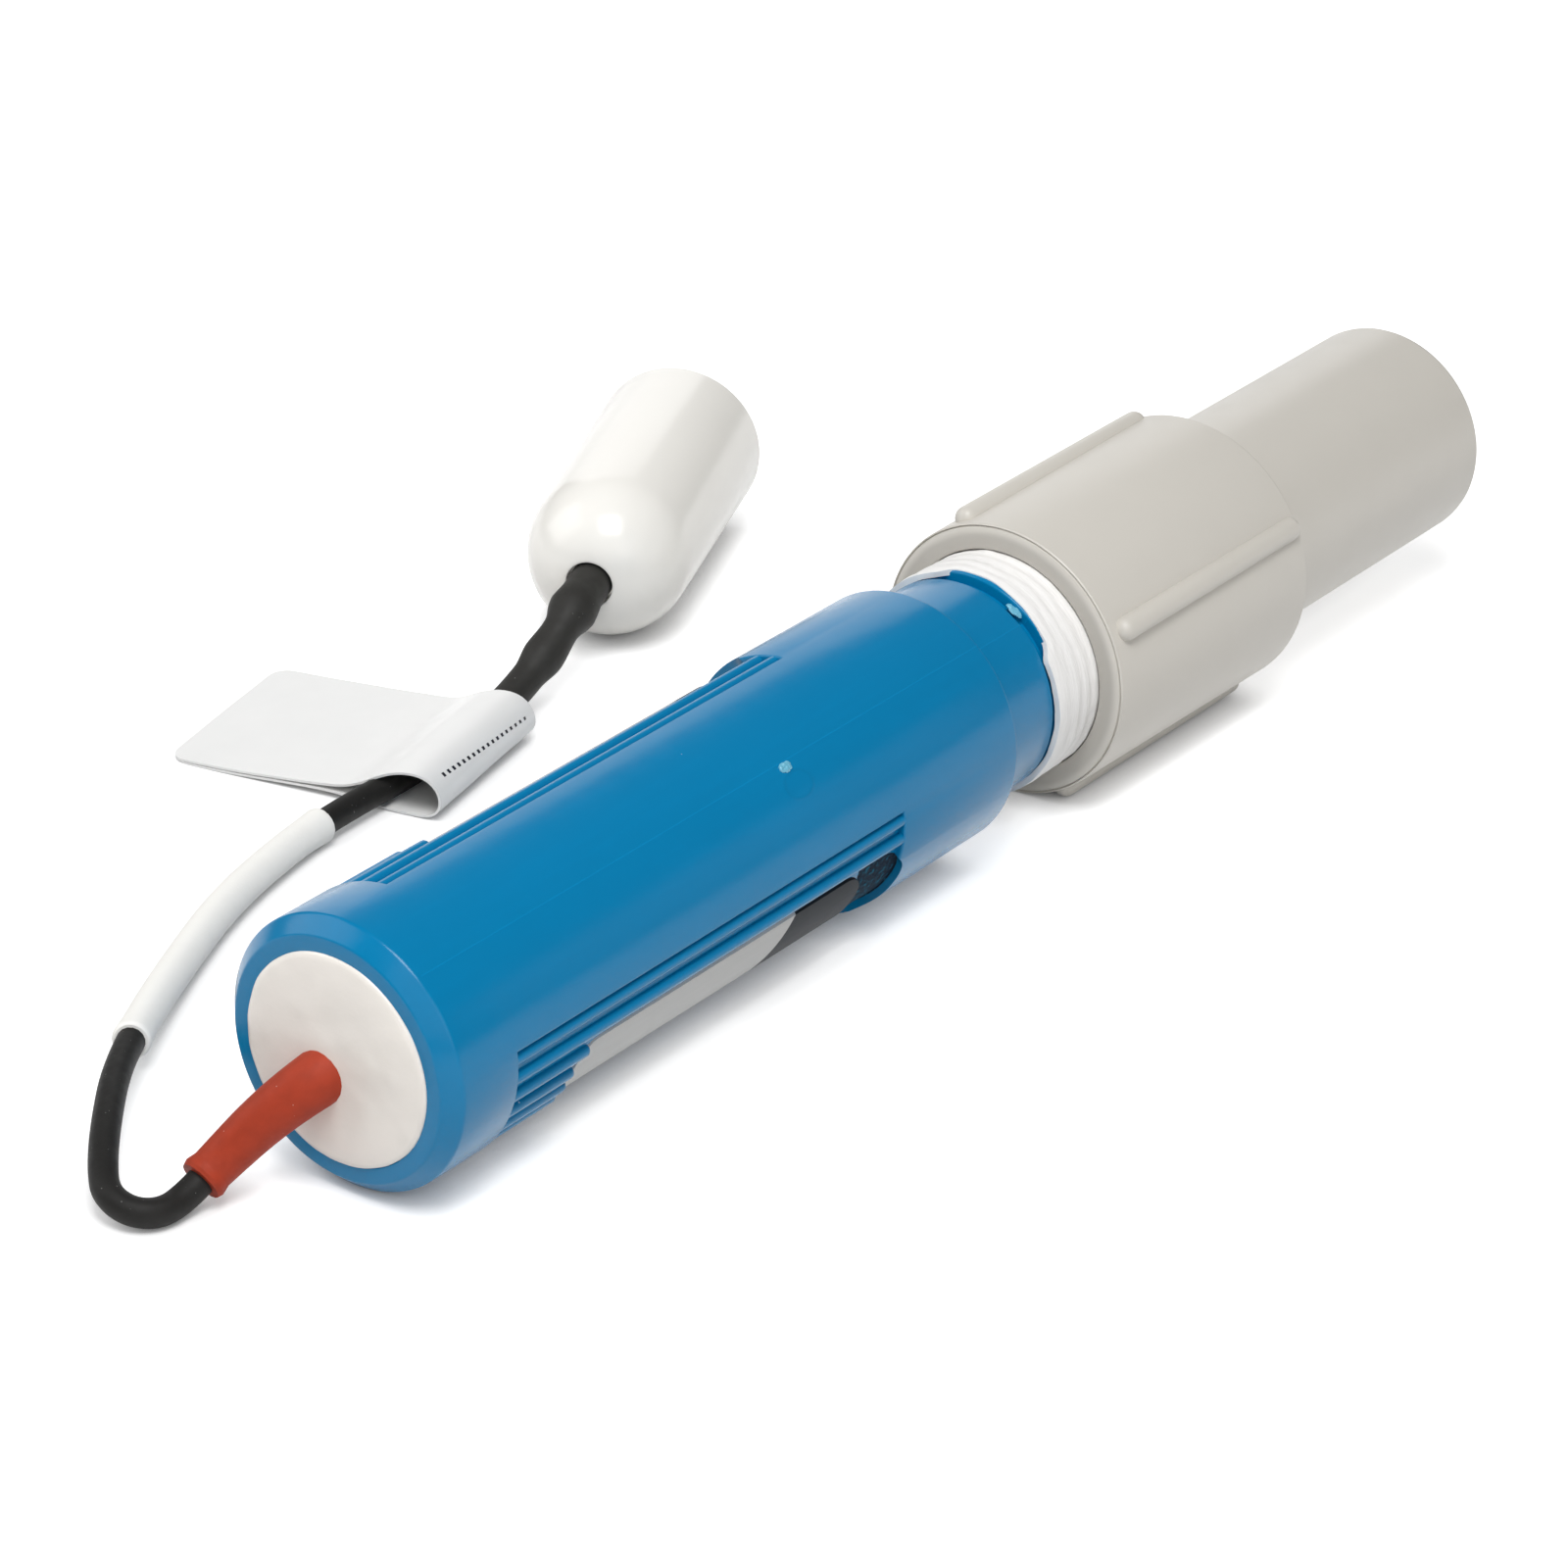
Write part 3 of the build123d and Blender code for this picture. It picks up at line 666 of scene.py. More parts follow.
class Palette:
    """Every finish of the electrode, built once."""

    def __init__(self) -> None:
        """Build the materials."""
        grey_dust = (0.2, 0.2, 0.19)
        finishes = [
            BarrelPlastic("barrel_blue", "barrel_blue", (0.0, 0.196, 0.418), roughness=0.22, clouding=0.03),
            CapPlastic("cap_grey", "cap", (0.638, 0.61, 0.556), roughness=0.38, clouding=0.02, dust=0.02),
            Moulding(
                "boot_white",
                "boot",
                (0.94, 0.92, 0.87),
                roughness=0.2,
                clouding=0.01,
                dust=0.0,
                grain_depth=0.0012,
                ripple_depth=0.005,
            ),
            Moulding("insulator_white", "insulator", (0.82, 0.82, 0.80), roughness=0.5),
            Moulding("ceramic_cream", "ceramic", (0.80, 0.78, 0.72), roughness=0.7, grain_depth=0.03),
            Resin("resin_pink_white", "resin", (0.92, 0.872, 0.812)),
            Jacket(
                "silicone_red", "silicone", (0.36, 0.037, 0.0115), speck=(0.7, 0.5, 0.45), speck_share=0.12
            ),
            Jacket("cable_black", "cable", (0.0095, 0.0090, 0.0082), speck=grey_dust),
            Jacket("shrink_black", "shrink", (0.028, 0.027, 0.0245), speck=grey_dust, speck_share=0.15),
            Jacket(
                "marker_white",
                "marker",
                (0.95, 0.94, 0.90),
                speck=(0.5, 0.5, 0.48),
                speck_share=0.02,
                mottle=0.02,
            ),
            Jacket("seal_black", "seal", (0.02, 0.02, 0.022), roughness=0.5),
            Film("tag_white", "tag", (0.83, 0.83, 0.82)),
            LabelFilm("label_print", "label", (0.62, 0.62, 0.61)),
            SealTape("tape_white", "tape", (0.94, 0.93, 0.915)),
            Plated("nickel_bright", "nickel", (0.62, 0.60, 0.56)),
            Plated("silver_drawn", "silver", (0.80, 0.80, 0.78)),
            Plated("contact_gold", "contact", (0.83, 0.60, 0.24)),
            ClearGlass("glass_clear", "glass", (0.90, 0.95, 0.95)),
            Moulding("flash_cyan", "barrel_blue", (0.15, 0.46, 0.62), roughness=0.2, dust=0.3),
        ]
        self.slots = {finish.name: finish.slot for finish in finishes}
        self.materials = {finish.name: finish.material() for finish in finishes}
        self.by_slot = {finish.slot: self.materials[finish.name] for finish in reversed(finishes)}

    def dress(self, piece: Object, name: str) -> None:
        """Give a whole piece one finish, by its own name or its slot's.

        Args:
            piece: The piece.
            name: The finish's own name, or the record's slot.
        """
        piece.data.materials.clear()
        piece.data.materials.append(self.materials.get(name) or self.by_slot[name])

    def dress_nodes(self) -> None:
        """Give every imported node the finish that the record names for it."""
        for entry in frame["record"]["subparts"]:
            node = frame["nodes"][entry["node"]]
            node.data.materials.clear()
            node.data.materials.append(self.by_slot[entry["material_slot"]])


@dataclass(frozen=True)
class Corner:
    """A corner of a turned profile: how far along, how far out, and its rounding, in millimetres."""

    along: float
    out: float
    round: float = 0.0


@dataclass(frozen=True)
class Spindle:
    """The axis that a piece is turned on, in millimetres in the frame."""

    origin: Vector
    axis: Vector
    up: Vector

    def at(self, along: float, out: float = 0.0, angle: float = 0.0) -> Vector:
        """A point at a distance along and out, turned from the up direction by degrees."""
        turn = Matrix.Rotation(math.radians(angle), 3, self.axis)
        return self.origin + self.axis * along + (turn @ self.up) * out

    def reading(self, point: Vector) -> tuple[float, float, float]:
        """How far along, how far out, and the angle in degrees, of a point.

        Args:
            point: A point in the frame, in millimetres.

        Returns:
            Along, out and angle.
        """
        offset = point - self.origin
        along = offset.dot(self.axis)
        radial = offset - self.axis * along
        side = self.axis.cross(self.up)
        angle = math.degrees(math.atan2(radial.dot(side), radial.dot(self.up))) % 360
        return along, radial.length, angle


def clear_selection() -> None:
    """Leave edit mode and select nothing."""
    if bpy.context.object is not None and bpy.context.object.mode != "OBJECT":
        bpy.ops.object.mode_set(mode="OBJECT")
    bpy.ops.object.select_all(action="DESELECT")


def activate(piece: Object) -> None:
    """Select one piece alone and make it the active one.

    Args:
        piece: The piece.
    """
    clear_selection()
    piece.select_set(True)
    bpy.context.view_layer.objects.active = piece


class Kind(Enum):
    """What is selected in edit mode."""

    VERTEX = "VERT"
    EDGE = "EDGE"
    FACE = "FACE"


def pick(piece: Object, kind: Kind, test: Callable[[Vector], bool]) -> None:
    """Select what passes a test, and enter edit mode.

    Args:
        piece: The mesh object.
        kind: A vertex is tested at its place, a face at its middle, and an edge at both its ends.
        test: Takes a place in the mesh's own coordinates.
    """
    activate(piece)
    bpy.ops.object.mode_set(mode="EDIT")
    bpy.ops.mesh.select_mode(type=kind.value)
    bpy.ops.mesh.select_all(action="DESELECT")
    bpy.ops.object.mode_set(mode="OBJECT")
    mesh = piece.data
    if kind is Kind.FACE:
        for face in mesh.polygons:
            face.select = test(face.center)
    else:
        passed = [test(vertex.co) for vertex in mesh.vertices]
        for edge in mesh.edges:
            edge.select = kind is Kind.EDGE and all(passed[end] for end in edge.vertices)
        for vertex, chosen in zip(mesh.vertices, passed):
            vertex.select = kind is Kind.VERTEX and chosen
    bpy.ops.object.mode_set(mode="EDIT")


def chain(name: str, places: Sequence[Vector]) -> Object:
    """A line of edges through the given places, drawn out from a single vertex.

    Args:
        name: The piece's name.
        places: The places, in order.

    Returns:
        The line, as a mesh object.
    """
    clear_selection()
    bpy.ops.mesh.primitive_plane_add(size=1.0, location=(0, 0, 0))
    piece = bpy.context.object
    piece.name = name
    bpy.ops.object.mode_set(mode="EDIT")
    bpy.ops.mesh.select_mode(type="VERT")
    bpy.ops.mesh.select_all(action="SELECT")
    bpy.ops.mesh.merge(type="CENTER")
    bpy.ops.transform.translate(value=places[0])
    for start, end in zip(places, places[1:]):
        bpy.ops.mesh.extrude_region_move(TRANSFORM_OT_translate={"value": end - start})
    bpy.ops.object.mode_set(mode="OBJECT")
    return piece


def turned(name: str, corners: Sequence[Corner], spindle: Spindle, steps: int = 128) -> Object:
    """Turn a profile on a spindle, as on a lathe.

    Args:
        name: The piece's name.
        corners: The profile, from one end to the other; a corner out at nought closes that end.
        spindle: The axis, with the profile in its up direction.
        steps: The number of steps round.

    Returns:
        The turned piece, in millimetres.
    """
    places = [spindle.at(corner.along, corner.out) for corner in corners]
    piece = chain(name, places)
    bpy.ops.object.mode_set(mode="EDIT")
    for corner, place in zip(corners, places):
        if corner.round > 0:
            round_vertex(piece, place, corner.round)
    bpy.ops.mesh.select_all(action="SELECT")
    bpy.ops.mesh.spin(steps=steps, angle=2 * math.pi, center=spindle.origin, axis=spindle.axis)
    bpy.ops.mesh.select_all(action="SELECT")
    bpy.ops.mesh.remove_doubles(threshold=0.001)
    bpy.ops.mesh.normals_make_consistent(inside=False)
    bpy.ops.object.mode_set(mode="OBJECT")
    return piece


def round_vertex(piece: Object, place: Vector, radius: float) -> None:
    """Round one corner of an open profile that is in edit mode.

    Args:
        piece: The profile.
        place: The corner's place.
        radius: How far back the rounding starts.
    """
    bpy.ops.mesh.select_all(action="DESELECT")
    bpy.ops.mesh.select_mode(type="VERT")
    bpy.ops.object.mode_set(mode="OBJECT")
    nearest = min(piece.data.vertices, key=lambda vertex: (vertex.co - place).length)
    nearest.select = True
    bpy.ops.object.mode_set(mode="EDIT")
    bpy.ops.mesh.bevel(offset=radius, segments=5, affect="VERTICES")


def copied(piece: Object, name: str, turn: Matrix) -> Object:
    """A copy with its own mesh, moved by a matrix that is put into the mesh.

    Args:
        piece: The pattern.
        name: The copy's name.
        turn: The matrix, in millimetres.

    Returns:
        The copy.
    """
    twin = piece.copy()
    twin.data = piece.data.copy()
    twin.name = name
    bpy.context.scene.collection.objects.link(twin)
    twin.data.transform(turn)
    return twin


def joined(pieces: Sequence[Object]) -> Object:
    """Join pieces into the first of them.

    Args:
        pieces: The pieces, of which the first keeps its name.

    Returns:
        The first piece, with all the meshes.
    """
    activate(pieces[0])
    for piece in pieces:
        piece.select_set(True)
    bpy.ops.object.join()
    return pieces[0]


def modified(piece: Object, kind: str, **settings: object) -> None:
    """Add a modifier with its settings and apply it.

    Args:
        piece: The piece.
        kind: The modifier's type.
        settings: Its settings, by their names.
    """
    activate(piece)
    modifier = piece.modifiers.new(kind.lower(), kind)
    for name, value in settings.items():
        setattr(modifier, name, value)
    bpy.ops.object.modifier_apply(modifier=modifier.name)


def cut(piece: Object, cutter: Object) -> None:
    """Take one closed piece out of another, and delete it."""
    modified(piece, "BOOLEAN", object=cutter, operation="DIFFERENCE", solver="EXACT")
    bpy.data.objects.remove(cutter)


def block(name: str, middle: Vector, size: Place) -> Object:
    """A plain block that a cutter or a chip is shaped from, in millimetres.

    Args:
        name: The block's name.
        middle: The place of its middle.
        size: Its extent along X, Y and Z.

    Returns:
        The block.
    """
    clear_selection()
    bpy.ops.mesh.primitive_cube_add(size=1.0, location=middle, scale=size)
    piece = bpy.context.object
    piece.name = name
    bpy.ops.object.transform_apply(location=True, rotation=True, scale=True)
    return piece


def pull(shift: Place | Vector, reach: float) -> None:
    """Move what is selected in edit mode, and draw what is near it along.

    Args:
        shift: How far it moves, in millimetres.
        reach: How far from it the rest still follows.
    """
    bpy.ops.transform.translate(
        value=shift,
        use_proportional_edit=True,
        proportional_edit_falloff="SMOOTH",
        proportional_size=reach,
    )


def rumpled(piece: Object, grain: float, depth: float, direction: str = "NORMAL", seed: int = 0) -> None:
    """Push a surface in and out by smooth noise.

    Args:
        piece: The mesh object, in millimetres.
        grain: The size of the lumps.
        depth: Their full height.
        direction: The modifier's direction, such as NORMAL or X.
        seed: Moves the noise's detail on.
    """
    noise = bpy.data.textures.new(f"{piece.name}_noise_{seed}", "CLOUDS")
    noise.noise_scale = grain
    noise.noise_depth = 1 + seed % 3
    modified(piece, "DISPLACE", texture=noise, strength=depth, mid_level=0.5, direction=direction)


def smoothed(piece: Object, angle: float = 32.0) -> None:
    """Shade a piece smooth except at edges sharper than an angle."""
    activate(piece)
    bpy.ops.object.shade_smooth_by_angle(angle=math.radians(angle))


def to_metres(piece: Object) -> None:
    """Scale a piece modelled in millimetres to the frame, with its size in its mesh.

    Args:
        piece: The piece.
    """
    activate(piece)
    piece.scale = (MM, MM, MM)
    bpy.ops.object.transform_apply(location=True, rotation=True, scale=True)


def seat(piece: Object, body: Body, finish: str, palette: Palette, nodes: Sequence[str] = ()) -> Object:
    """Dress a finished piece, let it ride on its body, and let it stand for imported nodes.

    Args:
        piece: The finished piece, in metres.
        body: The body that carries it.
        finish: The finish's own name, or the record's slot that it fills.
        palette: The finishes.
        nodes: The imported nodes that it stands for.

    Returns:
        The same piece.
    """
    palette.dress(piece, finish)
    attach(piece, body.value)
    if nodes:
        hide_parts(*nodes)
    log.info("%s: %d faces on %s", piece.name, len(getattr(piece.data, "polygons", [])), body.value)
    return piece


FACE_X = -97.85
PROBE_SPINDLE = Spindle(Vector((FACE_X, 0, AXIS_HEIGHT)), Vector((1, 0, 0)), Vector((0, 1, 0)))
PLUG_HEADING = math.radians(23.6)
PLUG_SPINDLE = Spindle(
    Vector((13.35, 58.2, 10.45)),
    Vector((math.cos(PLUG_HEADING), math.sin(PLUG_HEADING), 0)),
    Vector((0, 0, 1)),
)


def turn_about_probe(angle: float) -> Matrix:
    """The matrix that turns a piece about the probe's axis by degrees."""
    shift = Matrix.Translation(PROBE_SPINDLE.origin)
    return shift @ Matrix.Rotation(math.radians(angle), 4, "X") @ shift.inverted()


@dataclass
class Barrel:
    """The moulded barrel: a grip body with ribbed panels, a neck, a tapered thread and a slotted nose."""

    radius: float = 15.3
    shoulder_radius: float = 15.15
    shoulder: float = 96.2
    shoulder_round: float = 0.4
    face_radius: float = 13.63
    face_round: float = 0.18
    chamfer: float = 1.8
    chamfer_round: float = 0.25
    bore_radius: float = 11.8
    bore_round: float = 0.15
    bore_depth: float = 34.0
    cell_radius: float = 8.2
    web_radius: float = 5.4
    web: tuple[float, float] = (130.0, 136.5)
    neck_radius: float = 12.8
    neck_end: float = 106.3
    neck_round: float = 0.25
    undercut_radius: float = 12.0
    thread: tuple[float, float] = (107.5, 125.5)
    thread_radii: tuple[float, float] = (13.33, 12.77)
    thread_round: float = 0.3
    nose_radius: float = 10.0
    nose_end: float = 151.5
    nose_foot_round: float = 0.4
    nose_round: float = 1.2
    nose_bore_round: float = 0.3
    guard_slot: tuple[float, float] = (9.5, 5.0)
    panel: tuple[float, float] = (10.2, 75.2)
    panel_angles: tuple[float, float] = (39.0, 219.0)
    panel_half_angle: float = 45.0
    panel_rim_round: float = 0.22
    floor_radius: float = 14.4
    flank_lean: float = 0.33
    recess: tuple[float, float] = (20.8, 76.6)
    recess_half_width: float = 6.4
    recess_corner: float = 3.5
    recess_floor_radius: float = 14.15
    rib_radius: float = 0.75
    rib_pitch: float = 9.0
    rib_count: int = 10
    full_ribs_each_side: int = 2
    rib_sink: float = 0.3
    short_rib_reach: float = 0.25
    corner_rib_reach: float = 1.9
    rib_steps: int = 24
    steps: int = 120

    def wall(self, along: float) -> float:
        """The outer radius of the grip body, which has a slight draft."""
        share = (along - self.chamfer) / (self.shoulder - self.chamfer)
        return self.radius + (self.shoulder_radius - self.radius) * share

    def off_panel(self, angle: float) -> float:
        """How many degrees an angle is from the middle of the nearest panel."""
        return min(abs((angle - middle + 180) % 360 - 180) for middle in self.panel_angles)

    def body(self) -> Object:
        """The turned body, outside and in.

        Returns:
            The body, without panels or slots.
        """
        start, end = self.panel
        corners = [
            Corner(self.web[0], self.web_radius),
            Corner(self.web[0], self.cell_radius),
            Corner(self.bore_depth, self.cell_radius),
            Corner(self.bore_depth, self.bore_radius),
            Corner(0, self.bore_radius, self.bore_round),
            Corner(0, self.face_radius, self.face_round),
            Corner(self.chamfer, self.radius, self.chamfer_round),
            Corner(start, self.wall(start)),
            Corner(end, self.wall(end)),
            Corner(self.shoulder, self.shoulder_radius, self.shoulder_round),
            Corner(self.shoulder, self.neck_radius, self.neck_round),
            Corner(self.neck_end, self.neck_radius, self.neck_round),
            Corner(self.neck_end, self.undercut_radius),
            Corner(self.thread[0], self.undercut_radius),
            Corner(self.thread[0], self.thread_radii[0], self.thread_round),
            Corner(self.thread[1], self.thread_radii[1], self.thread_round),
            Corner(self.thread[1], self.nose_radius, self.nose_foot_round),
            Corner(self.nose_end, self.nose_radius, self.nose_round),
            Corner(self.nose_end, self.cell_radius, self.nose_bore_round),
            Corner(self.web[1], self.cell_radius),
            Corner(self.web[1], self.web_radius),
            Corner(self.web[0], self.web_radius),
        ]
        return turned("barrel_shell", corners, PROBE_SPINDLE, self.steps)

    def sink_panels(self, body: Object) -> None:
        """Press the two panels in, lean their flanks and round their rims.

        Args:
            body: The turned body.
        """
        start, end = self.panel
        edge = self.panel_half_angle

        def in_panel(place: Vector) -> bool:
            """Whether a face of the wall lies in a panel."""
            along, out, angle = PROBE_SPINDLE.reading(place)
            return start < along < end and out > self.floor_radius and self.off_panel(angle) < edge

        def on_rim(place: Vector) -> bool:
            """Whether a vertex lies on a panel's outer rim.

            Args:
                place: The vertex's place.

            Returns:
                True on the rim.
            """
            along, out, angle = PROBE_SPINDLE.reading(place)
            at_end = min(abs(along - start), abs(along - end)) < 0.01
            return at_end and out > self.wall(end) - 0.02 and self.off_panel(angle) < edge + 0.1

        pick(body, Kind.FACE, in_panel)
        bpy.ops.mesh.extrude_region_move()
        sink = self.floor_radius / self.wall((start + end) / 2)
        bpy.ops.transform.resize(value=(1, sink, sink), center_override=PROBE_SPINDLE.origin)
        for middle in self.panel_angles:
            for side in (-1, 1):
                self.lean_flank(body, middle + side * edge, -side * self.flank_lean)
        pick(body, Kind.EDGE, on_rim)
        bpy.ops.mesh.bevel(offset=self.panel_rim_round, segments=3, affect="EDGES")
        bpy.ops.object.mode_set(mode="OBJECT")

    def lean_flank(self, body: Object, angle: float, shift: float) -> None:
        """Move the foot of one flank round the axis by a distance.

        Args:
            body: The body, with its panels sunk.
            angle: The flank's angle round the axis.
            shift: How far its foot moves, with the angle.
        """
        between = (self.floor_radius + self.wall(self.panel[1])) / 2

        def at_foot(place: Vector) -> bool:
            """Whether a vertex is at the foot of this flank.

            Args:
                place: The vertex's place.

            Returns:
                True at the foot.
            """
            along, out, reading = PROBE_SPINDLE.reading(place)
            near = abs((reading - angle + 180) % 360 - 180) < 0.5
            beside = self.panel[0] - 1 < along < self.panel[1] + 1
            return near and beside and self.bore_radius + 1 < out < between

        pick(body, Kind.VERTEX, at_foot)
        sideways = PROBE_SPINDLE.at(0, shift, angle + 90) - PROBE_SPINDLE.origin
        bpy.ops.transform.translate(value=sideways)
        bpy.ops.object.mode_set(mode="OBJECT")

    def recess_cutter(self, angle: float) -> Object:
        """What a label's recess takes away: a rounded block with a round underside.

        Args:
            angle: The panel's angle round the axis.

        Returns:
            The cutter.
        """
        start, end = self.recess
        height = self.radius
        middle = PROBE_SPINDLE.at((start + end) / 2, self.recess_floor_radius / 2 + height / 2)
        cutter = block("recess_cutter", middle, (end - start, height, 2 * self.recess_half_width))
        activate(cutter)
        bpy.ops.object.mode_set(mode="EDIT")
        bpy.ops.mesh.select_mode(type="EDGE")
        bpy.ops.mesh.select_all(action="DESELECT")
        bpy.ops.object.mode_set(mode="OBJECT")
        for edge in cutter.data.edges:
            ends = [cutter.data.vertices[number].co for number in edge.vertices]
            edge.select = abs((ends[1] - ends[0]).y) > height / 2
        bpy.ops.object.mode_set(mode="EDIT")
        bpy.ops.mesh.bevel(offset=self.recess_corner, segments=8, affect="EDGES")
        bpy.ops.object.mode_set(mode="OBJECT")
        core = [
            Corner(start - 1, 0),
            Corner(start - 1, self.recess_floor_radius),
            Corner(end + 1, self.recess_floor_radius),
            Corner(end + 1, 0),
        ]
        cut(cutter, turned("recess_core", core, PROBE_SPINDLE, self.steps))
        cutter.data.transform(turn_about_probe(angle))
        return cutter

    def guard_cutters(self) -> list[Object]:
        """Two crossed blocks that cut the four slots of the guard.

        Returns:
            The two blocks.
        """
        depth, width = self.guard_slot
        middle = PROBE_SPINDLE.at(self.nose_end - depth / 2 + 0.5)
        reach = 3 * self.nose_radius
        sizes = ((depth + 1, reach, width), (depth + 1, width, reach))
        return [block("guard_cutter", middle, size) for size in sizes]

    def rib(self, name: str, end: float, ball_end: bool) -> Object:
        """One rib at the panel's first side, flat inside the wall or with a ball at its far end.

        Args:
            name: The rib's name.
            end: Where it ends along the probe.
            ball_end: Whether that end is a ball.

        Returns:
            The rib, at an angle of nought.
        """
        start = self.panel[0] - self.rib_sink
        corners = [Corner(start, 0), Corner(start, self.rib_radius)]
        corners.append(Corner(end, self.rib_radius, BALL_SHARE * self.rib_radius if ball_end else 0.0))
        corners.append(Corner(end, 0))
        middle = PROBE_SPINDLE.at(0, self.floor_radius)
        return turned(name, corners, Spindle(middle, PROBE_SPINDLE.axis, Vector((0, 0, 1))), self.rib_steps)

    def ribs(self) -> list[Object]:
        """All the ribs of both panels: full ones at the sides, short ones up to the recess.

        Returns:
            The ribs, each in its place.
        """
        full = self.rib("rib_full", self.panel[1] + self.rib_sink, False)
        short = self.rib("rib_short", self.recess[0] + self.short_rib_reach, True)
        corner = self.rib("rib_corner", self.recess[0] + self.corner_rib_reach, True)
        pieces = []
        for middle in self.panel_angles:
            for count in range(self.rib_count):
                from_side = min(count, self.rib_count - 1 - count)
                if from_side < self.full_ribs_each_side:
                    pattern = full
                else:
                    pattern = corner if from_side == self.full_ribs_each_side else short
                angle = middle + self.rib_pitch * (count - (self.rib_count - 1) / 2)
                pieces.append(copied(pattern, f"rib_{middle:.0f}_{count}", turn_about_probe(angle)))
        for pattern in (full, short, corner):
            bpy.data.objects.remove(pattern)
        return pieces

    def build(self, palette: Palette) -> Object:
        """Make the barrel and put it in place of its node.

        Args:
            palette: The finishes.

        Returns:
            The barrel.
        """
        body = self.body()
        self.sink_panels(body)
        for angle in self.panel_angles:
            cut(body, self.recess_cutter(angle))
        for cutter in self.guard_cutters():
            cut(body, cutter)
        barrel = joined([body, *self.ribs()])
        smoothed(barrel)
        to_metres(barrel)
        return seat(barrel, Body.PROBE, "barrel_blue", palette, ["barrel"])


@dataclass(frozen=True)
class Chip:
    """A rough chip of plastic: its name, the place of its middle, and its extent along, out and round."""

    name: str
    along: float
    out: float
    angle: float
    size: Place


@dataclass
class BarrelMarks:
    """What the mould left on the barrel: a torn gate, and a chip of flash at the neck."""

    chips: tuple[Chip, ...] = (
        Chip("gate_tear", 60.6, 15.25, 131.5, (2.1, 0.5, 1.5)),
        Chip("neck_flash", 107.1, 12.75, 121.0, (1.3, 0.5, 2.8)),
    )
    lump: float = 0.5
    lump_height: float = 0.45
    levels: int = 4

    def build(self, palette: Palette) -> None:
        """Make each chip, sunk a little in the surface.

        Args:
            palette: The finishes.
        """
        for chip in self.chips:
            piece = block(chip.name, PROBE_SPINDLE.at(chip.along, chip.out), chip.size)
            modified(piece, "SUBSURF", levels=self.levels, render_levels=self.levels)
            rumpled(piece, self.lump, self.lump_height, seed=2)
            piece.data.transform(turn_about_probe(chip.angle))
            smoothed(piece, 60)
            to_metres(piece)
            seat(piece, Body.PROBE, "flash_cyan", palette)


@dataclass
class ThreadTape:
    """White tape wound over the taper thread, with the crests showing through it."""

    start: float = 107.7
    end: float = 124.0
    pitch: float = 1.814
    crest: float = Barrel.thread_radii[0]
    thread_start: float = Barrel.thread[0]
    taper: float = 1 / 32
    thickness: float = 0.12
    ridge: float = 0.09
    points_a_turn: int = 8
    gap_angles: tuple[float, float] = (72.0, 151.0)
    lap: float = 1.1
    lap_blend: float = 2.2
    front_drop: float = 0.55
    end_drop: float = 1.2
    creases: tuple[float, float] = (2.2, 0.2)
    lap_waves: tuple[float, float] = (7.0, 0.9)
    steps: int = 180

    def outside(self, along: float) -> float:
        """The tape's outer radius at a station, over the thread's crests and valleys.

        Args:
            along: The station along the probe.

        Returns:
            The radius.
        """
        crest = self.crest - (along - self.thread_start) * self.taper
        phase = math.cos(2 * math.pi * (along - self.start) / self.pitch)
        return crest + self.thickness + self.ridge * (0.5 - 0.5 * phase)

    def build(self, palette: Palette) -> Object:
        """Make the tape and put it in place of its node.

        Args:
            palette: The finishes.

        Returns:
            The tape.
        """
        count = round((self.end - self.start) / self.pitch * self.points_a_turn)
        stations = [self.start + (self.end - self.start) * step / count for step in range(count + 1)]
        corners = [Corner(self.start, self.crest - self.front_drop)]
        corners += [Corner(station, self.outside(station)) for station in stations]
        corners += [Corner(self.end, self.crest - self.end_drop), corners[0]]
        tape = turned("tape_windings", corners, PROBE_SPINDLE, self.steps)
        low, high = self.gap_angles

        def on_lap(place: Vector) -> bool:
            """Whether a vertex is on the front edge, where the tape laps to the neck."""
            along, _, angle = PROBE_SPINDLE.reading(place)
            return along < self.start + 0.2 and not low < angle < high

        pick(tape, Kind.VERTEX, on_lap)
        pull((-self.lap, 0, 0), self.lap_blend)
        bpy.ops.object.mode_set(mode="OBJECT")
        rumpled(tape, *self.creases, seed=1)
        rumpled(tape, *self.lap_waves, "X")
        smoothed(tape, 50)
        to_metres(tape)
        return seat(tape, Body.PROBE, "tape", palette, ["thread_tape"])


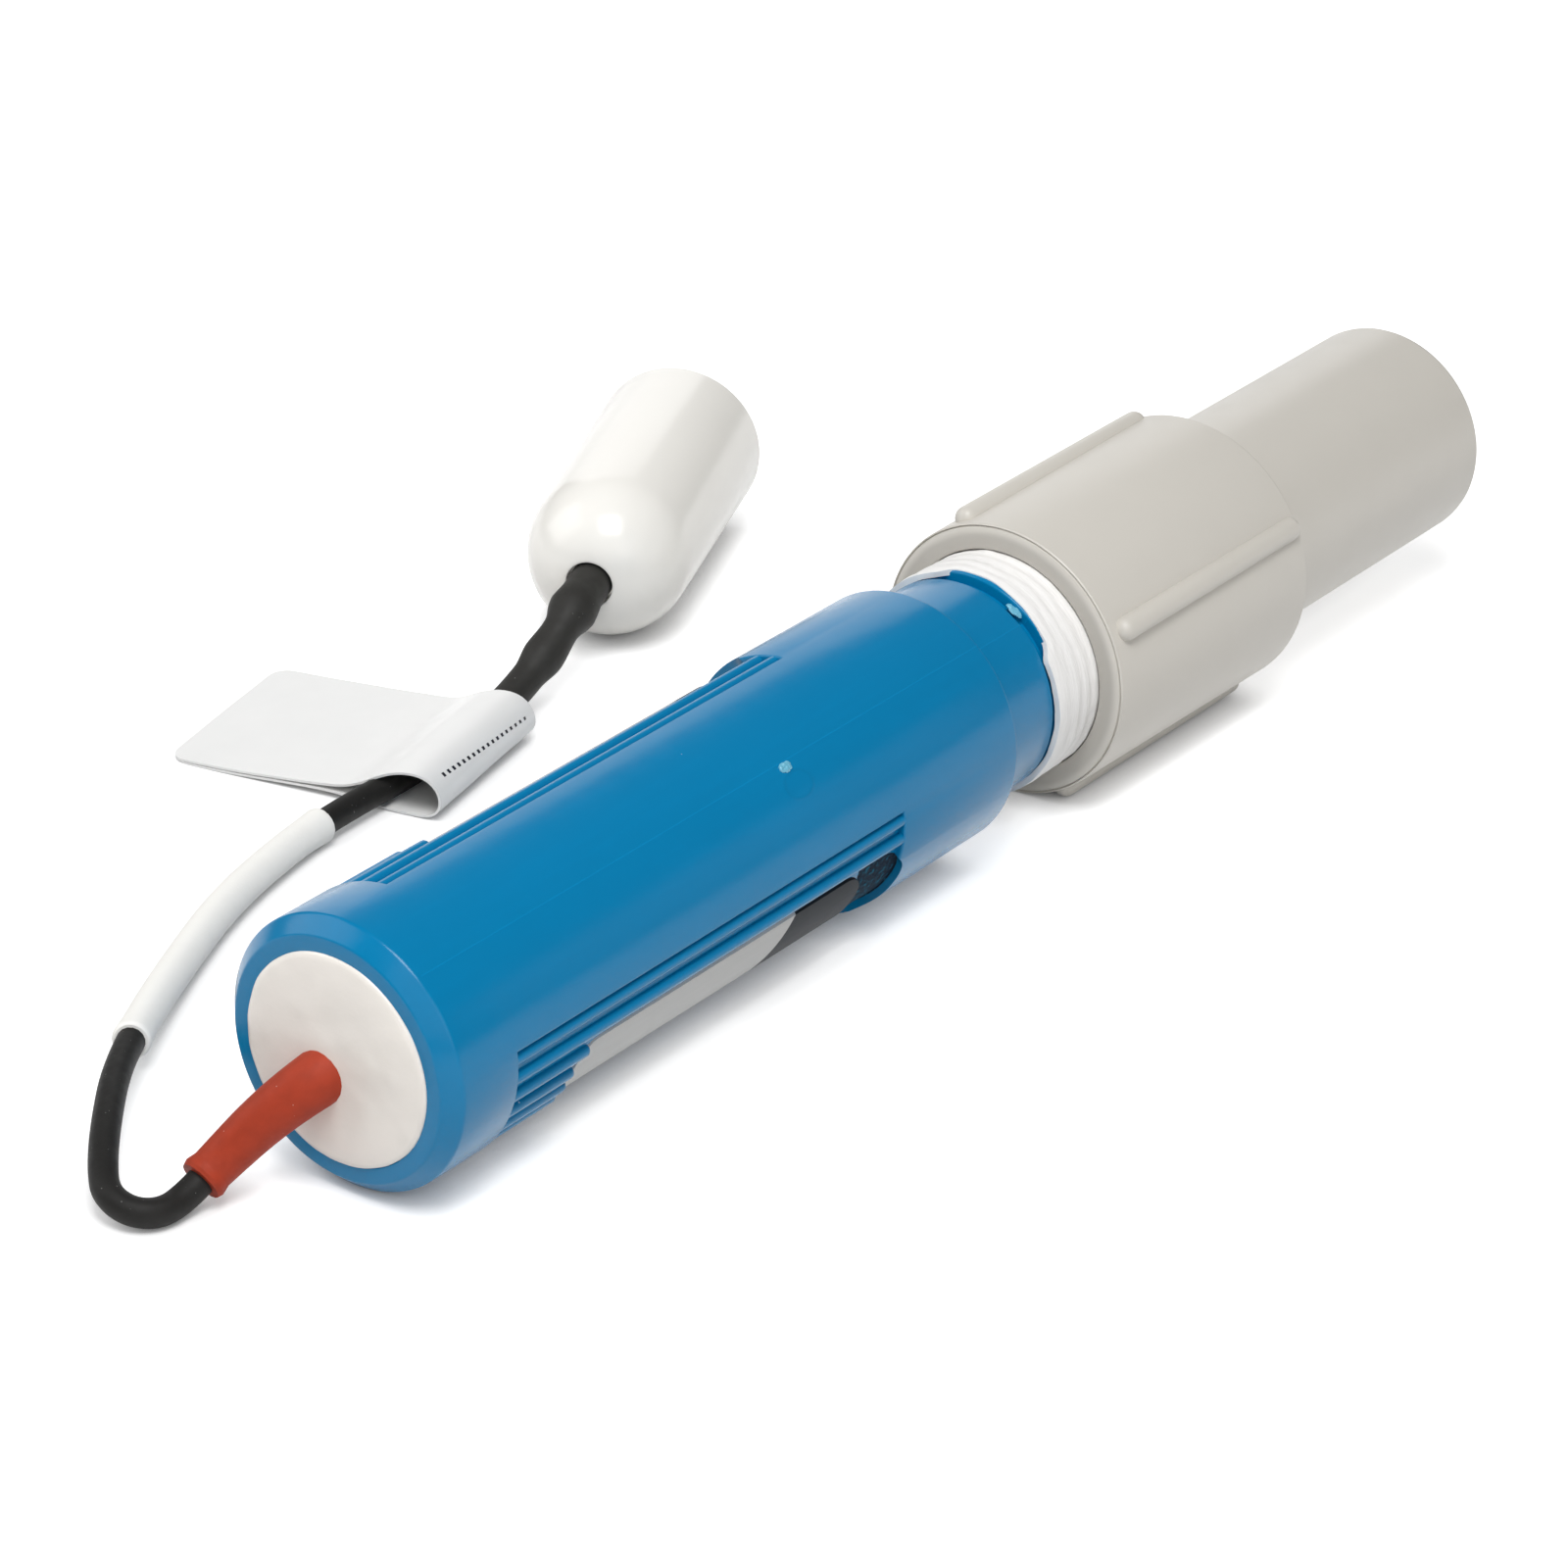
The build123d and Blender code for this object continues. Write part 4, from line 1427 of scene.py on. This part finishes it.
@dataclass
class Potting:
    """Resin cast in the cable end, with an uneven face."""

    radius: float = 11.78
    depth: float = 12.9
    rim: tuple[tuple[float, float], ...] = ((0.35, 0.0), (0.05, 0.1), (-0.2, -0.05))
    crown: float = 0.42
    crown_fall: float = 0.45
    crown_power: int = 8
    ring_spacing: float = 0.45
    mound: tuple[float, float] = (-6.6, 19.7)
    mound_radius: float = 5.5
    mound_top_share: float = 0.3
    mound_height: float = 0.3
    waves: tuple[float, float] = (4.5, 0.22)
    ripples: tuple[float, float] = (1.6, 0.03)
    steps: int = 120

    def build(self, palette: Palette) -> Object:
        """Make the resin and put it in place of its node.

        Args:
            palette: The finishes.

        Returns:
            The resin.
        """
        corners = [Corner(self.depth, 0), Corner(self.depth, self.radius)]
        corners += [Corner(along, self.radius + over) for along, over in self.rim]
        rings = int(self.radius / self.ring_spacing) - 1
        for ring in range(rings, -1, -1):
            out = ring * self.ring_spacing
            fall = (out / self.radius) ** self.crown_power
            corners.append(Corner(-self.crown * (1 - self.crown_fall * fall), out))
        resin = turned("resin_face", corners, PROBE_SPINDLE, self.steps)
        middle = Vector((FACE_X - self.crown, *self.mound))
        top_radius = self.mound_radius * self.mound_top_share
        pick(resin, Kind.VERTEX, lambda place: (place - middle).length < top_radius)
        pull((-self.mound_height, 0, 0), self.mound_radius)
        bpy.ops.object.mode_set(mode="OBJECT")
        rumpled(resin, *self.waves)
        rumpled(resin, *self.ripples, seed=1)
        smoothed(resin, 60)
        to_metres(resin)
        return seat(resin, Body.PROBE, "resin", palette, ["potting_plug"])


@dataclass
class FlagTag:
    """A strip of glossy film, looped round the lead and pressed together into a flag."""

    heading: float = TAG_HEADING
    near_edge: float = -19.9
    width: float = 25.6
    columns: int = 9
    thickness: float = 0.28
    corner: float = 2.2
    loop_end: float = 58.0
    loop_skew: float = 2.4
    loop_blend: float = 8.0
    waves: tuple[float, float] = (16.0, 0.35)
    levels: int = 2
    section: tuple[tuple[float, float], ...] = (
        (85.9, 1.35),
        (80.5, 1.5),
        (75.6, 1.65),
        (69.1, 2.05),
        (64.2, 2.4),
        (61.6, 3.0),
        (59.4, 4.15),
        (57.2, 5.5),
        (54.6, 6.3),
        (52.0, 6.2),
        (50.4, 4.9),
        (50.0, 3.4),
        (50.3, 2.1),
        (51.5, 1.15),
        (54.0, 0.98),
        (57.1, 1.05),
        (60.4, 1.35),
        (63.4, 1.75),
        (69.1, 1.6),
        (75.6, 1.25),
        (80.5, 1.12),
        (85.7, 1.02),
    )

    def build(self, palette: Palette) -> Object:
        """Make the tag and put it in place of its node.

        Args:
            palette: The finishes.

        Returns:
            The tag.
        """
        turn = math.radians(self.heading)
        across = Vector((math.cos(turn), math.sin(turn), 0))
        away = Vector((-math.sin(turn), math.cos(turn), 0))
        places = [across * self.near_edge + away * v + Vector((0, 0, z)) for v, z in self.section]
        tag = chain("tag_film", places)
        activate(tag)
        bpy.ops.object.mode_set(mode="EDIT")
        bpy.ops.mesh.select_mode(type="EDGE")
        bpy.ops.mesh.select_all(action="SELECT")
        for _ in range(self.columns):
            step = across * (self.width / self.columns)
            bpy.ops.mesh.extrude_region_move(TRANSFORM_OT_translate={"value": step})
        bpy.ops.object.mode_set(mode="OBJECT")
        far_edge = self.near_edge + self.width - 0.1
        pick(tag, Kind.VERTEX, lambda place: place.dot(across) > far_edge and place.dot(away) < self.loop_end)
        pull(across * -self.loop_skew, self.loop_blend)
        free_ends = [places[0], places[-1]]
        corners = [place + across * shift for place in free_ends for shift in (0, self.width)]
        for place in corners:
            round_vertex(tag, place, self.corner)
        bpy.ops.object.mode_set(mode="OBJECT")
        modified(tag, "SUBSURF", levels=self.levels, render_levels=self.levels)
        rumpled(tag, *self.waves, "Z")
        modified(tag, "SOLIDIFY", thickness=self.thickness, offset=0.0)
        smoothed(tag, 45)
        to_metres(tag)
        return seat(tag, Body.PROBE, "tag", palette, ["flag_tag"])


@dataclass
class StorageCap:
    """The cap: a collar with four ribs, and a closed spigot of pipe size."""

    front: float = 114.2
    back: float = 152.1
    end: float = 196.2
    front_radius: float = 16.41
    back_radius: float = 16.72
    spigot_radius: float = 13.335
    mouth_radius: float = 13.42
    mouth_round: float = 0.25
    socket_depth: float = 17.0
    socket_fall: float = 0.3
    chamber_radius: float = 11.4
    chamber_round: float = 1.0
    end_wall: float = 4.0
    face: tuple[Place, ...] = (
        (0.0, -1.35, 0.4),
        (0.14, -0.75, 0.0),
        (0.32, -0.38, 0.0),
        (0.55, -0.28, 0.0),
        (0.3, -0.14, 0.0),
        (0.45, 0.0, 0.12),
    )
    back_round: float = 0.35
    spigot_foot_round: float = 0.12
    end_round: float = 1.3
    rib_radius: float = 1.42
    rib_angles: tuple[float, ...] = (64.0, 154.0, 244.0, 334.0)
    rib_inset: float = 3.0
    rib_end_gap: float = 0.15
    rib_steps: int = 32
    steps: int = 144

    def shell(self) -> Object:
        """The turned wall, outside and in.

        Returns:
            The cap without its ribs.
        """
        socket_end = self.front + self.socket_depth
        chamber_end = self.end - self.end_wall
        front, rim = self.front, self.front_radius
        face = [Corner(front + behind, rim + over, rounding) for behind, over, rounding in self.face]
        corners = [
            Corner(chamber_end, 0),
            Corner(chamber_end, self.chamber_radius, self.chamber_round),
            Corner(socket_end, self.chamber_radius),
            Corner(socket_end, self.mouth_radius - self.socket_fall),
            Corner(self.front, self.mouth_radius, self.mouth_round),
            *face,
            Corner((self.front + self.back) / 2, (self.front_radius + self.back_radius) / 2),
            Corner(self.back, self.back_radius, self.back_round),
            Corner(self.back, self.spigot_radius, self.spigot_foot_round),
            Corner(self.end, self.spigot_radius, self.end_round),
            Corner(self.end, 0),
        ]
        return turned("cap_shell", corners, PROBE_SPINDLE, self.steps)

    def rib(self) -> Object:
        """One rib with ball ends, half sunk in the collar.

        Returns:
            The rib, at an angle of nought.
        """
        start = self.front + self.rib_inset - self.rib_radius
        end = self.back - self.rib_end_gap
        nearly = self.rib_radius * BALL_SHARE
        corners = [
            Corner(start, 0),
            Corner(start, self.rib_radius, nearly),
            Corner(end, self.rib_radius, nearly),
            Corner(end, 0),
        ]
        middle = PROBE_SPINDLE.at(0, self.front_radius)
        spindle = Spindle(middle, PROBE_SPINDLE.axis, Vector((0, 0, 1)))
        return turned("cap_rib", corners, spindle, self.rib_steps)

    def build(self, palette: Palette) -> Object:
        """Make the cap and put it in place of its node.

        Args:
            palette: The finishes.

        Returns:
            The cap.
        """
        rib = self.rib()
        ribs = [copied(rib, f"cap_rib_{angle:.0f}", turn_about_probe(angle)) for angle in self.rib_angles]
        bpy.data.objects.remove(rib)
        cap = joined([self.shell(), *ribs])
        smoothed(cap)
        to_metres(cap)
        return seat(cap, Body.CAP, "cap", palette, ["storage_cap"])


@dataclass
class Boot:
    """The moulded boot pressed on the plug's coupling nut."""

    length: float = 42.7
    shoulder: float = 10.4
    nose_radius: float = 10.07
    mouth_radius: float = 10.43
    mouth_round: float = 0.5
    dome_height: float = 8.74
    hole_radius: float = 2.85
    hole_rim: float = 0.2
    hole_round: float = 0.15
    hole_sink: float = 0.05
    seat_radius: float = 7.22
    cavity_radius: float = 6.3
    seat_start: float = 24.6
    cavity_start: float = 9.0
    dome_points: int = 14
    steps: int = 128

    def build(self, palette: Palette) -> Object:
        """Make the boot and put it in place of its node.

        Args:
            palette: The finishes.

        Returns:
            The boot.
        """
        base = self.nose_radius - self.dome_height
        dome = []
        for point in range(self.dome_points + 1):
            turn = math.radians(90 * point / self.dome_points)
            out = base + self.dome_height * math.sin(turn)
            if out > self.hole_radius + self.hole_rim:
                dome.append(Corner(self.shoulder * (1 - math.cos(turn)), out))
        corners = [
            Corner(self.length, self.seat_radius),
            Corner(self.seat_start, self.seat_radius),
            Corner(self.seat_start, self.cavity_radius),
            Corner(self.cavity_start, self.cavity_radius),
            Corner(self.cavity_start, self.hole_radius),
            Corner(dome[0].along - self.hole_sink, self.hole_radius, self.hole_round),
            *dome,
            Corner(self.length, self.mouth_radius, self.mouth_round),
            Corner(self.length, self.seat_radius),
        ]
        boot = turned("boot_shell", corners, PLUG_SPINDLE, self.steps)
        smoothed(boot, 40)
        to_metres(boot)
        return seat(boot, Body.PLUG, "boot", palette, ["connector_boot"])


@dataclass
class Lead:
    """The thin coaxial lead with what is on it, from the resin to the ferrule."""

    radius: float = 1.57 * MM
    route: tuple[Place, ...] = (
        (-0.0896, 0.0006, 0.0160),
        (-0.0968, 0.0010, 0.0153),
        (-0.1018, 0.0052, 0.0110),
        (-0.1062, 0.0090, 0.0055),
        (-0.1109, 0.0096, 0.0032),
        (-0.1143, 0.0096, 0.0032),
        (-0.1164, 0.0117, 0.0036),
        (-0.1164, 0.0149, 0.0045),
        (-0.1139, 0.0177, 0.0054),
        (-0.1084, 0.0224, 0.0061),
        (-0.0988, 0.0299, 0.0058),
        (-0.0870, 0.0369, 0.0044),
        (-0.0758, 0.0426, 0.0035),
        (-0.0618, 0.0485, 0.0033),
        (-0.0470, 0.0519, 0.0032),
        (-0.0362, 0.0529, 0.0030),
        (-0.0250, 0.0527, 0.00305),
        (-0.0140, 0.0538, 0.00315),
        (-0.0062, 0.0551, 0.0033),
        (0.0015, 0.0556, 0.0061),
        (0.00767, 0.05572, 0.01045),
        (0.01472, 0.0588, 0.01045),
    )
    relief_span: tuple[Place, Place] = ((-0.0932, 0.0008, 0.0157), (-0.10855, 0.0093, 0.00435))
    relief_radii: tuple[float, float] = (3.25, 2.27)
    relief_lip: tuple[float, float, float] = (0.28, 0.97, 0.05)
    marker_span: tuple[Place, Place] = ((-0.0929, 0.0334, 0.0051), (-0.0416, 0.0524, 0.0031))
    marker_radius: float = 2.0
    marker_flare: tuple[float, float] = (0.16, 0.06)
    marker_rim: tuple[float, float] = (0.3, 0.007)
    shrink_start: Place = (-0.0195, 0.05325, 0.0031)
    shrink_knots: tuple[tuple[float, float], ...] = (
        (0.0, 1.9),
        (0.5, 2.0),
        (0.6, 2.5),
        (0.705, 2.2),
        (0.8, 2.95),
        (0.9, 2.6),
        (1.0, 2.6),
    )
    reading_steps: int = 48
    steps: int = 12
    cable_round_steps: int = 6
    sleeve_round_steps: int = 8
    line: list[Vector] = field(default_factory=list)

    def curve(self) -> Object:
        """The smooth line of the route, with no thickness yet.

        Returns:
            The lead, as a curve.
        """
        data = bpy.data.curves.new("lead_cable", "CURVE")
        data.dimensions = "3D"
        data.resolution_u = self.reading_steps
        spline = data.splines.new("NURBS")
        spline.points.add(len(self.route) - 1)
        for point, place in zip(spline.points, self.route):
            point.co = (*place, 1.0)
        spline.order_u = 3
        spline.use_endpoint_u = True
        cable = bpy.data.objects.new("lead_cable", data)
        bpy.context.scene.collection.objects.link(cable)
        bpy.context.view_layer.update()
        reading = bpy.data.meshes.new_from_object(cable)
        self.line = [vertex.co.copy() for vertex in reading.vertices]
        bpy.data.meshes.remove(reading)
        data.resolution_u = self.steps
        data.bevel_depth = self.radius
        data.bevel_resolution = self.cable_round_steps
        return cable

    def distances(self) -> list[float]:
        """How far along the line each of its points is.

        Returns:
            The distances from the resin's inside, in metres.
        """
        marks = [0.0]
        for start, end in zip(self.line, self.line[1:]):
            marks.append(marks[-1] + (end - start).length)
        return marks

    def nearest(self, place: Place) -> float:
        """How far along the line the point nearest to a place is.

        Args:
            place: The place, in metres.

        Returns:
            The distance along the line, in metres.
        """
        target = Vector(place)
        marks = self.distances()
        return min(zip(self.line, marks), key=lambda pair: (pair[0] - target).length)[1]

    def sleeve(self, name: str, start: float, end: float, girth: Callable[[float], float]) -> Object:
        """A tube round the lead.

        Args:
            name: The piece's name.
            start: Where it starts, in metres along the line.
            end: Where it ends.
            girth: Gives its radius in metres at a share of its length.

        Returns:
            The tube, in metres.
        """
        marks = self.distances()
        stretch = [(place, mark) for place, mark in zip(self.line, marks) if start <= mark <= end]
        data = bpy.data.curves.new(name, "CURVE")
        data.dimensions = "3D"
        data.bevel_depth = 1.0
        data.bevel_resolution = self.sleeve_round_steps
        data.use_fill_caps = True
        spline = data.splines.new("POLY")
        spline.points.add(len(stretch) - 1)
        for point, (place, mark) in zip(spline.points, stretch):
            point.co = (*place, 1.0)
            point.radius = girth((mark - start) / (end - start))
        tube = bpy.data.objects.new(name, data)
        bpy.context.scene.collection.objects.link(tube)
        activate(tube)
        bpy.ops.object.convert(target="MESH")
        tube = bpy.context.object
        smoothed(tube, 50)
        return tube

    def build(self, palette: Palette, carried: Sequence[Object]) -> Object:
        """Args:
            palette: The finishes.
            carried: Pieces made elsewhere that hang on the lead; not used.

        Returns:
            The cable.
        """
        cable = self.curve()
        marks = self.distances()
        relief_start, relief_end = (self.nearest(place) for place in self.relief_span)
        marker_start, marker_end = (self.nearest(place) for place in self.marker_span)
        shrink_start = self.nearest(self.shrink_start)
        relief = self.sleeve("strain_sleeve", relief_start, relief_end, self.relief_girth)
        marker_sleeve = self.sleeve("marker_tube", marker_start, marker_end, self.marker_girth)
        shrink = self.sleeve("shrink_tube", shrink_start, marks[-1], self.shrink_girth)
        seat(relief, Body.PROBE, "silicone", palette, ["strain_relief"])
        seat(marker_sleeve, Body.PROBE, "marker", palette, ["marker_sleeve"])
        seat(shrink, Body.PROBE, "shrink", palette, ["shrink_sleeve"])
        seat(cable, Body.PROBE, "cable", palette, ["cable"])
        2 * self.radius
        return cable

    def relief_girth(self, share: float) -> float:
        """The strain relief's radius: a taper with a lip at its thin end.

        Args:
            share: The share of its length.

        Returns:
            The radius in metres.
        """
        base, tip = self.relief_radii
        height, middle, reach = self.relief_lip
        lip = height * max(0.0, 1 - abs(share - middle) / reach)
        return (base + (tip - base) * share + lip) * MM

    def marker_girth(self, share: float) -> float:
        """The marker's radius, wider at its ends, with rounded rims.

        Args:
            share: The share of its length.

        Returns:
            The radius in metres.
        """
        from_end = min(share, 1 - share)
        flare, flare_reach = self.marker_flare
        rim, rim_reach = self.marker_rim
        wider = flare * max(0.0, 1 - from_end / flare_reach)
        rounded = rim * max(0.0, 1 - from_end / rim_reach) ** 2
        return (self.marker_radius + wider - rounded) * MM

    def shrink_girth(self, share: float) -> float:
        """The shrink tube's radius, with two bulges over the crimp's tail.

        Args:
            share: The share of its length.

        Returns:
            The radius in metres.
        """
        knots = self.shrink_knots
        for (start, low), (end, high) in zip(knots, knots[1:]):
            if share <= end:
                step = (share - start) / (end - start)
                return (low + (high - low) * step * step * (3 - 2 * step)) * MM
        return knots[-1][1] * MM


@dataclass(frozen=True)
class Lamp:
    """A square soft light that faces the object's middle."""

    name: str
    place: Place
    size: float
    power: float
    target: Place = (-0.02, 0.02, 0.01)

    def build(self) -> Object:
        """Add the light.

        Returns:
            The lamp.
        """
        clear_selection()
        aim = Vector(self.target) - Vector(self.place)
        turn = aim.to_track_quat("-Z", "Y").to_euler()
        bpy.ops.object.light_add(type="AREA", location=self.place, rotation=turn)
        lamp = bpy.context.object
        lamp.name = self.name
        lamp.data.size = self.size
        lamp.data.energy = self.power
        return lamp


@dataclass
class Studio:
    """The pale floor, the soft lights and the camera at the photograph's angle."""

    camera_place: Place = (-0.4744, -0.3450, 0.3112)
    heading: float = 37.469
    dip: float = 27.369
    lens: float = 134.84
    sensor: float = 36.0
    floor_slope: float = 0.00945
    floor_touch: float = 0.054
    floor_size: float = 6.0
    paper: float = 0.66
    paper_cloud: float = 400.0
    paper_unevenness: float = 0.01
    glow: float = 0.68
    shadow_reach: float = 4.0 * MM
    surround: float = 0.14
    lamps: tuple[Lamp, ...] = (
        Lamp("top_light", (-0.33, -0.28, 1.05), 0.5, 8.6),
        Lamp("front_light", (-1.0, -0.75, 0.75), 1.2, 3.4),
        Lamp("low_light", (-0.45, -1.15, 0.5), 0.9, 2.3),
        Lamp("back_light", (-0.5, 0.9, 0.7), 0.9, 4.7),
        Lamp("far_light", (0.91, 0.80, 0.36), 0.72, 1.9),
        Lamp("side_light", (0.91, -0.87, 0.28), 0.4, 0.2),
    )

    def camera(self) -> Object:
        """Add the camera.

        Returns:
            The camera.
        """
        turn = math.radians(self.heading)
        down = math.radians(self.dip)
        ahead = Vector((math.cos(turn) * math.cos(down), math.sin(turn) * math.cos(down), -math.sin(down)))
        turned_to = ahead.to_track_quat("-Z", "Y").to_euler()
        bpy.ops.object.camera_add(location=self.camera_place, rotation=turned_to)
        camera = bpy.context.object
        camera.data.lens = self.lens
        camera.data.sensor_width = self.sensor
        camera.data.clip_start = 0.01
        bpy.context.scene.camera = camera
        return camera

    def floor(self) -> Object:
        """Add the floor, on the slope that the probe and its wider collar rest on.

        Returns:
            The floor.
        """
        clear_selection()
        tilt = math.atan(self.floor_slope)
        bpy.ops.mesh.primitive_plane_add(
            size=self.floor_size, location=(self.floor_touch, 0, 0), rotation=(0, tilt, 0)
        )
        floor = bpy.context.object
        floor.name = "floor"
        bpy.ops.object.transform_apply(location=True, rotation=True)
        floor.data.materials.append(self.floor_material())
        return floor

    def floor_material(self) -> Material:
        """Pale paper that reads as white away from the object, and is darker where the object touches it.

        Returns:
            The material.
        """
        shader = Shader("floor_paper")
        tone = shader.clouds(self.paper_cloud, 1.0) * self.paper_unevenness + self.paper
        black, white = (0.0, 0.0, 0.0), (1.0, 1.0, 1.0)
        colour = shader.mix(tone, black, white)
        path = shader.node("ShaderNodeLightPath")
        kinds = ("Is Camera Ray", "Is Glossy Ray", "Is Transmission Ray")
        seen = sum((Reading(shader, path.outputs[kind]) for kind in kinds), 0.0).least(1.0)
        near = shader.node("ShaderNodeAmbientOcclusion", {"samples": 4}, {"Distance": self.shadow_reach})
        clear = Reading(shader, near.outputs["AO"])
        glow = shader.mix(seen * clear, black, white)
        shader.finish(Base_Color=colour, Roughness=0.9, Emission_Color=glow)
        shader.surface.inputs["Emission Strength"].default_value = self.glow
        shader.surface.inputs["Specular IOR Level"].default_value = 0.0
        return shader.material

    def sky(self) -> None:
        """An even surround."""
        world = bpy.data.worlds.new("surround")
        bpy.context.scene.world = world
        world.use_nodes = True
        background = world.node_tree.nodes["Background"]
        background.inputs["Color"].default_value = (1.0, 1.0, 1.0, 1.0)
        background.inputs["Strength"].default_value = self.surround

    def build(self) -> None:
        """Set up the whole studio."""
        bpy.context.scene.view_settings.view_transform = "Standard"
        self.camera()
        self.floor()
        self.sky()
        for lamp in self.lamps:
            lamp.build()


def main() -> None:
    """Build and dress the electrode in order."""
    logging.basicConfig(level=logging.INFO, format="%(name)s: %(message)s")
    Studio().build()
    palette = Palette()
    palette.dress_nodes()
    boot = Boot().build(palette)
    tag = FlagTag().build(palette)
    Lead().build(palette, [boot, tag])
    Barrel().build(palette)
    BarrelMarks().build(palette)
    ThreadTape().build(palette)
    Potting().build(palette)
    StorageCap().build(palette)


if __name__ == "__main__":
    main()
